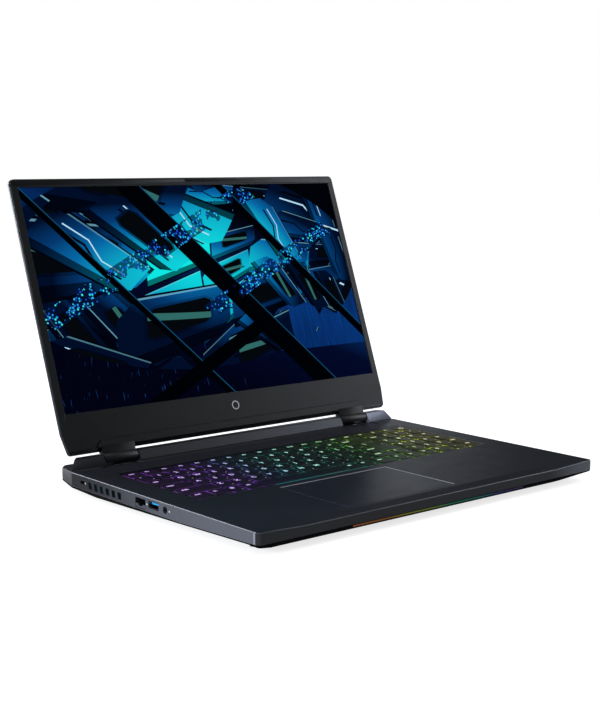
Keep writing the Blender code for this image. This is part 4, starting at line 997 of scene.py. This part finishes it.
def sheet(tree, colour, fall, empty, along, across, chance):
    """Lays one fan of plates over a colour. empty is the share of places left out."""
    place = across.inside(0.05, 0.96) * along.inside(0.02, 0.99)
    place = place * ((across + along * 1.6) > 0.3) * ((across * 0.8 + along * 1.3) < 1.85)
    place = place * (chance[0] > empty) * (fall < 1.2)
    tone = ramp(tree, (fall + (chance[1] - 0.5) * 0.75 + (across - 0.5) * 0.2).socket, PLATE_TONES)
    colour = painted(tree, colour, (0.0002, 0.001, 0.004), place)
    plate = place * across.inside(0.09, 0.93)
    colour = painted(tree, colour, tone, plate)
    colour = painted(tree, colour, dimmed(tree, tone, chance[2] * 0.25 + 0.08), plate * (across < 0.22))
    bright = painted(tree, tone, (0.3, 0.8, 1.0), chance[2] * 0.3 + 0.1)
    colour = painted(tree, colour, bright, plate * across.near(0.915, 0.014))
    # Dark windows with cut corners, some with a pale inner frame.
    aside, ahead = (across - 0.55).math("ABSOLUTE"), (along - 0.5).math("ABSOLUTE")
    window = (aside < 0.24) * (ahead < 0.3) * ((aside + ahead) < 0.46) * plate * (chance[1] > 0.5)
    colour = painted(tree, colour, dimmed(tree, tone, chance[2] * 0.5 + 0.2), window)
    pane = (aside < 0.2) * (ahead < 0.275) * ((aside + ahead) < 0.42) * window
    colour = painted(tree, colour, (0.001, 0.002, 0.003), pane)
    slit = (across - along * 0.4).near(0.35, 0.05) * pane * (chance[2] > 0.6)
    colour = painted(tree, colour, (0.03, 0.14, 0.13), slit)
    # Light traces with one jog.
    jog = ((along - 0.5) * 5).math("MAXIMUM", -0.5).math("MINIMUM", 0.5) * 0.22
    free = along.inside(0.16, 0.84) * plate * window.off()
    bright_trace = (across - jog).near(0.6, 0.013) * free * (chance[2] < 0.5)
    colour = painted(tree, colour, (0.45, 0.75, 0.95), bright_trace)
    dark_trace = (across - jog).near(0.48, 0.022) * free * (chance[2] < 0.8)
    return painted(tree, colour, (0.0003, 0.001, 0.003), dark_trace)


def sparks(tree, colour, bands):
    """Lays small lit cells over a colour, in clouds inside the bands."""
    cells = add(tree, "ShaderNodeTexVoronoi", Scale=380)
    tree.links.new(add(tree, "ShaderNodeTexCoord").outputs["Object"], cells.inputs["Vector"])
    hue = add(tree, "ShaderNodeSeparateXYZ")
    tree.links.new(cells.outputs["Color"], hue.inputs[0])
    cloud = bands * (Field(tree, noise(tree, 45, 3)) > 0.48)
    spark = (Field(tree, cells.outputs["Distance"]) < 0.42) * (Field(tree, hue.outputs[0]) > 0.3) * cloud
    colour = painted(tree, colour, (0.0005, 0.006, 0.04), cloud * 0.8)
    return painted(tree, colour, ramp(tree, hue.outputs[1], SPARK_TONES), spark)


def picture():
    """A generic wallpaper: fanned plates, dark beams, light traces and sparks in cyan and blue."""
    made, tree, shader = new_material("screen_picture", (0.0004, 0.0004, 0.0006), 0.4, specular=0.0)
    split = add(tree, "ShaderNodeSeparateXYZ")
    tree.links.new(add(tree, "ShaderNodeTexCoord").outputs["Object"], split.inputs[0])
    x = Field(tree, split.outputs["X"]) * 10          # -1.91 to 1.91
    y = Field(tree, split.outputs["Y"]) * 10 - 1.53   # -1.08 to 1.08
    # Bright in the middle, fading to the corners.
    fall = ((x + 0.15) * (x + 0.15) * 0.3 + (y - 0.25) * (y - 0.25) * 1.3).math("SQRT")
    colour = wall(tree, x, y)
    for hub, rows, rings, turn, empty in SHEETS:
        colour = sheet(tree, colour, fall, empty, *fan_of_plates(tree, x, y, hub, rows, rings, turn))
    lean, cross = x * 0.74 + y * 0.67, x * -0.42 + y * 0.91
    for middle, half in BEAMS:
        colour = painted(tree, colour, BEAM, lean.near(middle, half))
        colour = painted(tree, colour, (0.005, 0.07, 0.16), lean.near(middle + half, 0.005))
    colour = painted(tree, colour, BEAM, cross.near(-0.62, 0.07) * (lean < 0.2))
    traces = cross.near(0.6, 0.1).largest(cross.near(-0.2, 0.08) * (x > -0.1))
    colour = sparks(tree, colour, traces * (fall < 1.1))
    tree.links.new(colour, shader.inputs["Emission Color"])
    shader.inputs["Emission Strength"].default_value = 1.0
    return made


def screen():
    """The lit panel."""
    slabs("screen_panel", picture(), "lid", [(rounded(-193.7, 193.7, 34.3, 262.1, 0.8), -0.3, 1.7, 0.15)],
          lid=True, replaces=["lcd_panel"], slot="screen")


# ---------------------------------------------------------------- sockets, feet and carried-over solids

SCREWS = (
    (-170, 46), (0, 34), (170, 46), (-172, 150), (172, 150), (-60, 150), (60, 150),
    (-160, 282), (0, 284), (160, 282),
)
CARRIED_OVER = (  # finish and the solids that are used as they are
    (BOARD, "motherboard ssd_module wireless_card memory_modules"),
    (WRAP, "battery_pack"),
    (COPPER, "cold_plate heat_pipe_left heat_pipe_right"),
    (ALUMINIUM, "fin_stack_left fin_stack_right"),
    (STEEL, "hinge_bracket_left hinge_bracket_right hinge_arm_left hinge_arm_right"),
    (STEEL, "hdmi_socket usb_c_socket"),
    (BLACK, "fan_housing_left fan_housing_right fan_rotor_left fan_rotor_right speaker_left speaker_right"),
    (BLACK, "display_cable ethernet_jack audio_jack power_inlet"),
    (SIDE, "ethernet_jaw"),
)


def usb_shells():
    """Each USB socket: a steel shell, a blue tongue and four contacts."""
    def bar(bm, x, outline, material):
        loft(bm, [[(value, d, z) for d, z in outline] for value in x], material=material)

    for node, (depth, side) in USB.items():
        bm = bmesh.new()
        mouth, back = side * 199.5, side * 185.5
        outer = rounded(depth - 7, depth + 7, 11.5, 17.3, 0.7)()
        inner = rounded(depth - 6.5, depth + 6.5, 12, 16.8, 0.4)()
        walls = ((back, outer), (mouth, outer), (mouth, inner), (back + side, inner))
        loft(bm, [[(x, d, z) for d, z in outline] for x, outline in walls])
        tongue = rounded(depth - 5.9, depth + 5.9, 14.3, 16.4, 0.2, 1)()
        bar(bm, sorted((side * 197.1, side * 186.2)), tongue, 1)
        for k in range(4):
            d = depth + (k - 1.5) * 2.5
            contact = ((d - 0.5, 14.1), (d + 0.5, 14.1), (d + 0.5, 14.35), (d - 0.5, 14.35))
            bar(bm, sorted((side * 196.4, side * 188)), contact, 2)
        object_from(node + "_shell", bm, [SHELL, BLUE, GOLD], "base", replaces=[node], slot="blue_plastic")


def port_marks():
    bm = bmesh.new()
    for d in (242, 147.0, 115.0):
        turned(bm, (-200.0, d, 13.9), (-1, 0, 0), [(-0.05, 0.75), (0.03, 0.75), (0.05, 0.6)], 16)
    object_from("port_marks", bm, PRINT, "base")


def feet_and_screws():
    front, rear = (31, 41), (258, 272)
    for node, x, d in (("foot_front_left", (-168, -108), front), ("foot_front_right", (108, 168), front),
                       ("foot_rear", (-150, 150), rear)):
        radius = min(4.8, (d[1] - d[0]) / 2 - 0.1)
        slabs(node + "_pad", RUBBER, "base", [(rounded(*x, *d, radius, 6), 0, 2.3, 0.2, 0.9)],
              replaces=[node], slot="rubber")
    profile = [(-0.6, 2.6), (0.12, 2.6), (0.25, 2.2), (0.25, 0.9), (-0.5, 0.5)]
    for number, (x, d) in enumerate(SCREWS):
        bm = bmesh.new()
        turned(bm, (x, d, 2.5), (0, 0, -1), profile, 24)
        object_from(f"cover_screw_{number}", bm, STEEL, "base", slot="bare_steel")


def carried_over():
    """Gives the solids that are used as they are a finish."""
    for made, nodes in CARRIED_OVER:
        for node in nodes.split():
            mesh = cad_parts[node].data
            mesh.materials.clear()
            mesh.materials.append(made)


# ---------------------------------------------------------------- stage

LIGHTS = (  # name, place, target, size, power in watts, seen in reflections
    ("overhead", (0, -0.2, 2.2), (0, 0, 0), (1.6, 1.6), 8, True),
    ("left_low", (-1.3, -0.1, 0.35), (-0.2, FRONT_Y + 0.05, 0.01), (0.4, 0.4), 15, False),
    ("side_fill", (-0.9, -0.75, 0.45), (-0.2, FRONT_Y + 0.1, 0.01), (0.5, 0.5), 2, True),
    ("front_right", (1.5, -0.55, 0.6), (0.1, 0, 0.1), (0.7, 0.7), 9, True),
    ("upper_right", (1.3, -0.35, 1.2), (0, 0, 0), (0.6, 0.6), 3.5, True),
    ("rear_fill", (-0.5, 2.2, 0.35), (0, 0.1, 0.12), (1.0, 1.0), 28, True),
    ("far_sheen", (1.31, FRONT_Y + 1.54, 0.275), (0.15, 0.05, 0.02), (0.35, 0.35), 0.4, True),
    ("sheen", (0.62, 0.52, 0.22), (0, FRONT_Y, 0.02), (0.3, 0.16), 0.09, True),
)


def surroundings(scene):
    """White for the camera, and a dim room for everything else."""
    world = bpy.data.worlds.new("studio")
    scene.world = world
    world.use_nodes = True
    nodes, links = world.node_tree.nodes, world.node_tree.links
    seen = nodes["Background"]
    seen.inputs["Color"].default_value = (1, 1, 1, 1)
    seen.inputs["Strength"].default_value = 1.0
    room = add(world.node_tree, "ShaderNodeBackground", Color=(0.9, 0.95, 1, 1), Strength=0.03)
    mix, path = nodes.new("ShaderNodeMixShader"), nodes.new("ShaderNodeLightPath")
    links.new(path.outputs["Is Camera Ray"], mix.inputs[0])
    links.new(room.outputs[0], mix.inputs[1])
    links.new(seen.outputs[0], mix.inputs[2])
    links.new(mix.outputs[0], nodes["World Output"].inputs["Surface"])


def white_floor(scene):
    """A plain floor: bright white with soft contact shade for the camera, a calmer grey in reflections."""
    mesh = bpy.data.meshes.new("floor")
    bm = bmesh.new()
    bmesh.ops.create_circle(bm, cap_ends=True, segments=64, radius=6)
    bm.to_mesh(mesh)
    bm.free()
    floor = bpy.data.objects.new("floor", mesh)
    scene.collection.objects.link(floor)
    paint, tree, shader = new_material("floor_white", (0.45, 0.45, 0.45), 0.9, specular=0.0)
    shader.inputs["Emission Color"].default_value = (1, 1, 1, 1)
    contact = add(tree, "ShaderNodeAmbientOcclusion", Distance=0.022)
    seen_by_camera = Field(tree, add(tree, "ShaderNodeLightPath").outputs["Is Camera Ray"])
    level = seen_by_camera * (Field(tree, contact.outputs["AO"]) * 0.28 + 0.7) + 0.04
    tree.links.new(level.socket, shader.inputs["Emission Strength"])
    mesh.materials.append(paint)
    return floor


def stage():
    scene = bpy.context.scene
    scene.view_settings.view_transform = "Standard"
    surroundings(scene)
    white_floor(scene)
    for name, location, target, (width, height), power, glossy in LIGHTS:
        light = bpy.data.lights.new(name, "AREA")
        light.shape = "RECTANGLE"
        light.size, light.size_y = width, height
        light.energy = power
        light.color = (0.88, 0.93, 1.0)
        obj = bpy.data.objects.new(name, light)
        scene.collection.objects.link(obj)
        obj.location = location
        obj.rotation_euler = (Vector(target) - Vector(location)).to_track_quat("-Z", "Y").to_euler()
        obj.visible_camera = False
        obj.visible_glossy = glossy
    lens = bpy.data.cameras.new("camera")
    lens.lens = 68.884
    lens.sensor_width = 36
    camera = bpy.data.objects.new("camera", lens)
    scene.collection.objects.link(camera)
    right, up = Vector((0.7584, -0.65178, 0.00365)), Vector((0.09375, 0.11463, 0.98897))
    back = Vector((-0.64501, -0.74969, 0.14804))
    turn = Matrix((right, up, back)).transposed()
    camera.matrix_world = Matrix.Translation((-0.8337, FRONT_Y - 0.7830, 0.2998)) @ turn.to_4x4()
    scene.camera = camera


deck()
side_fins()
bottom()
light_strip()
housing()
ridge()
touchpad()
keys()
key_tray()
lid_back()
bezel()
hinge_strip()
camera_and_mark()
screen()
usb_shells()
port_marks()
feet_and_screws()
carried_over()
stage()
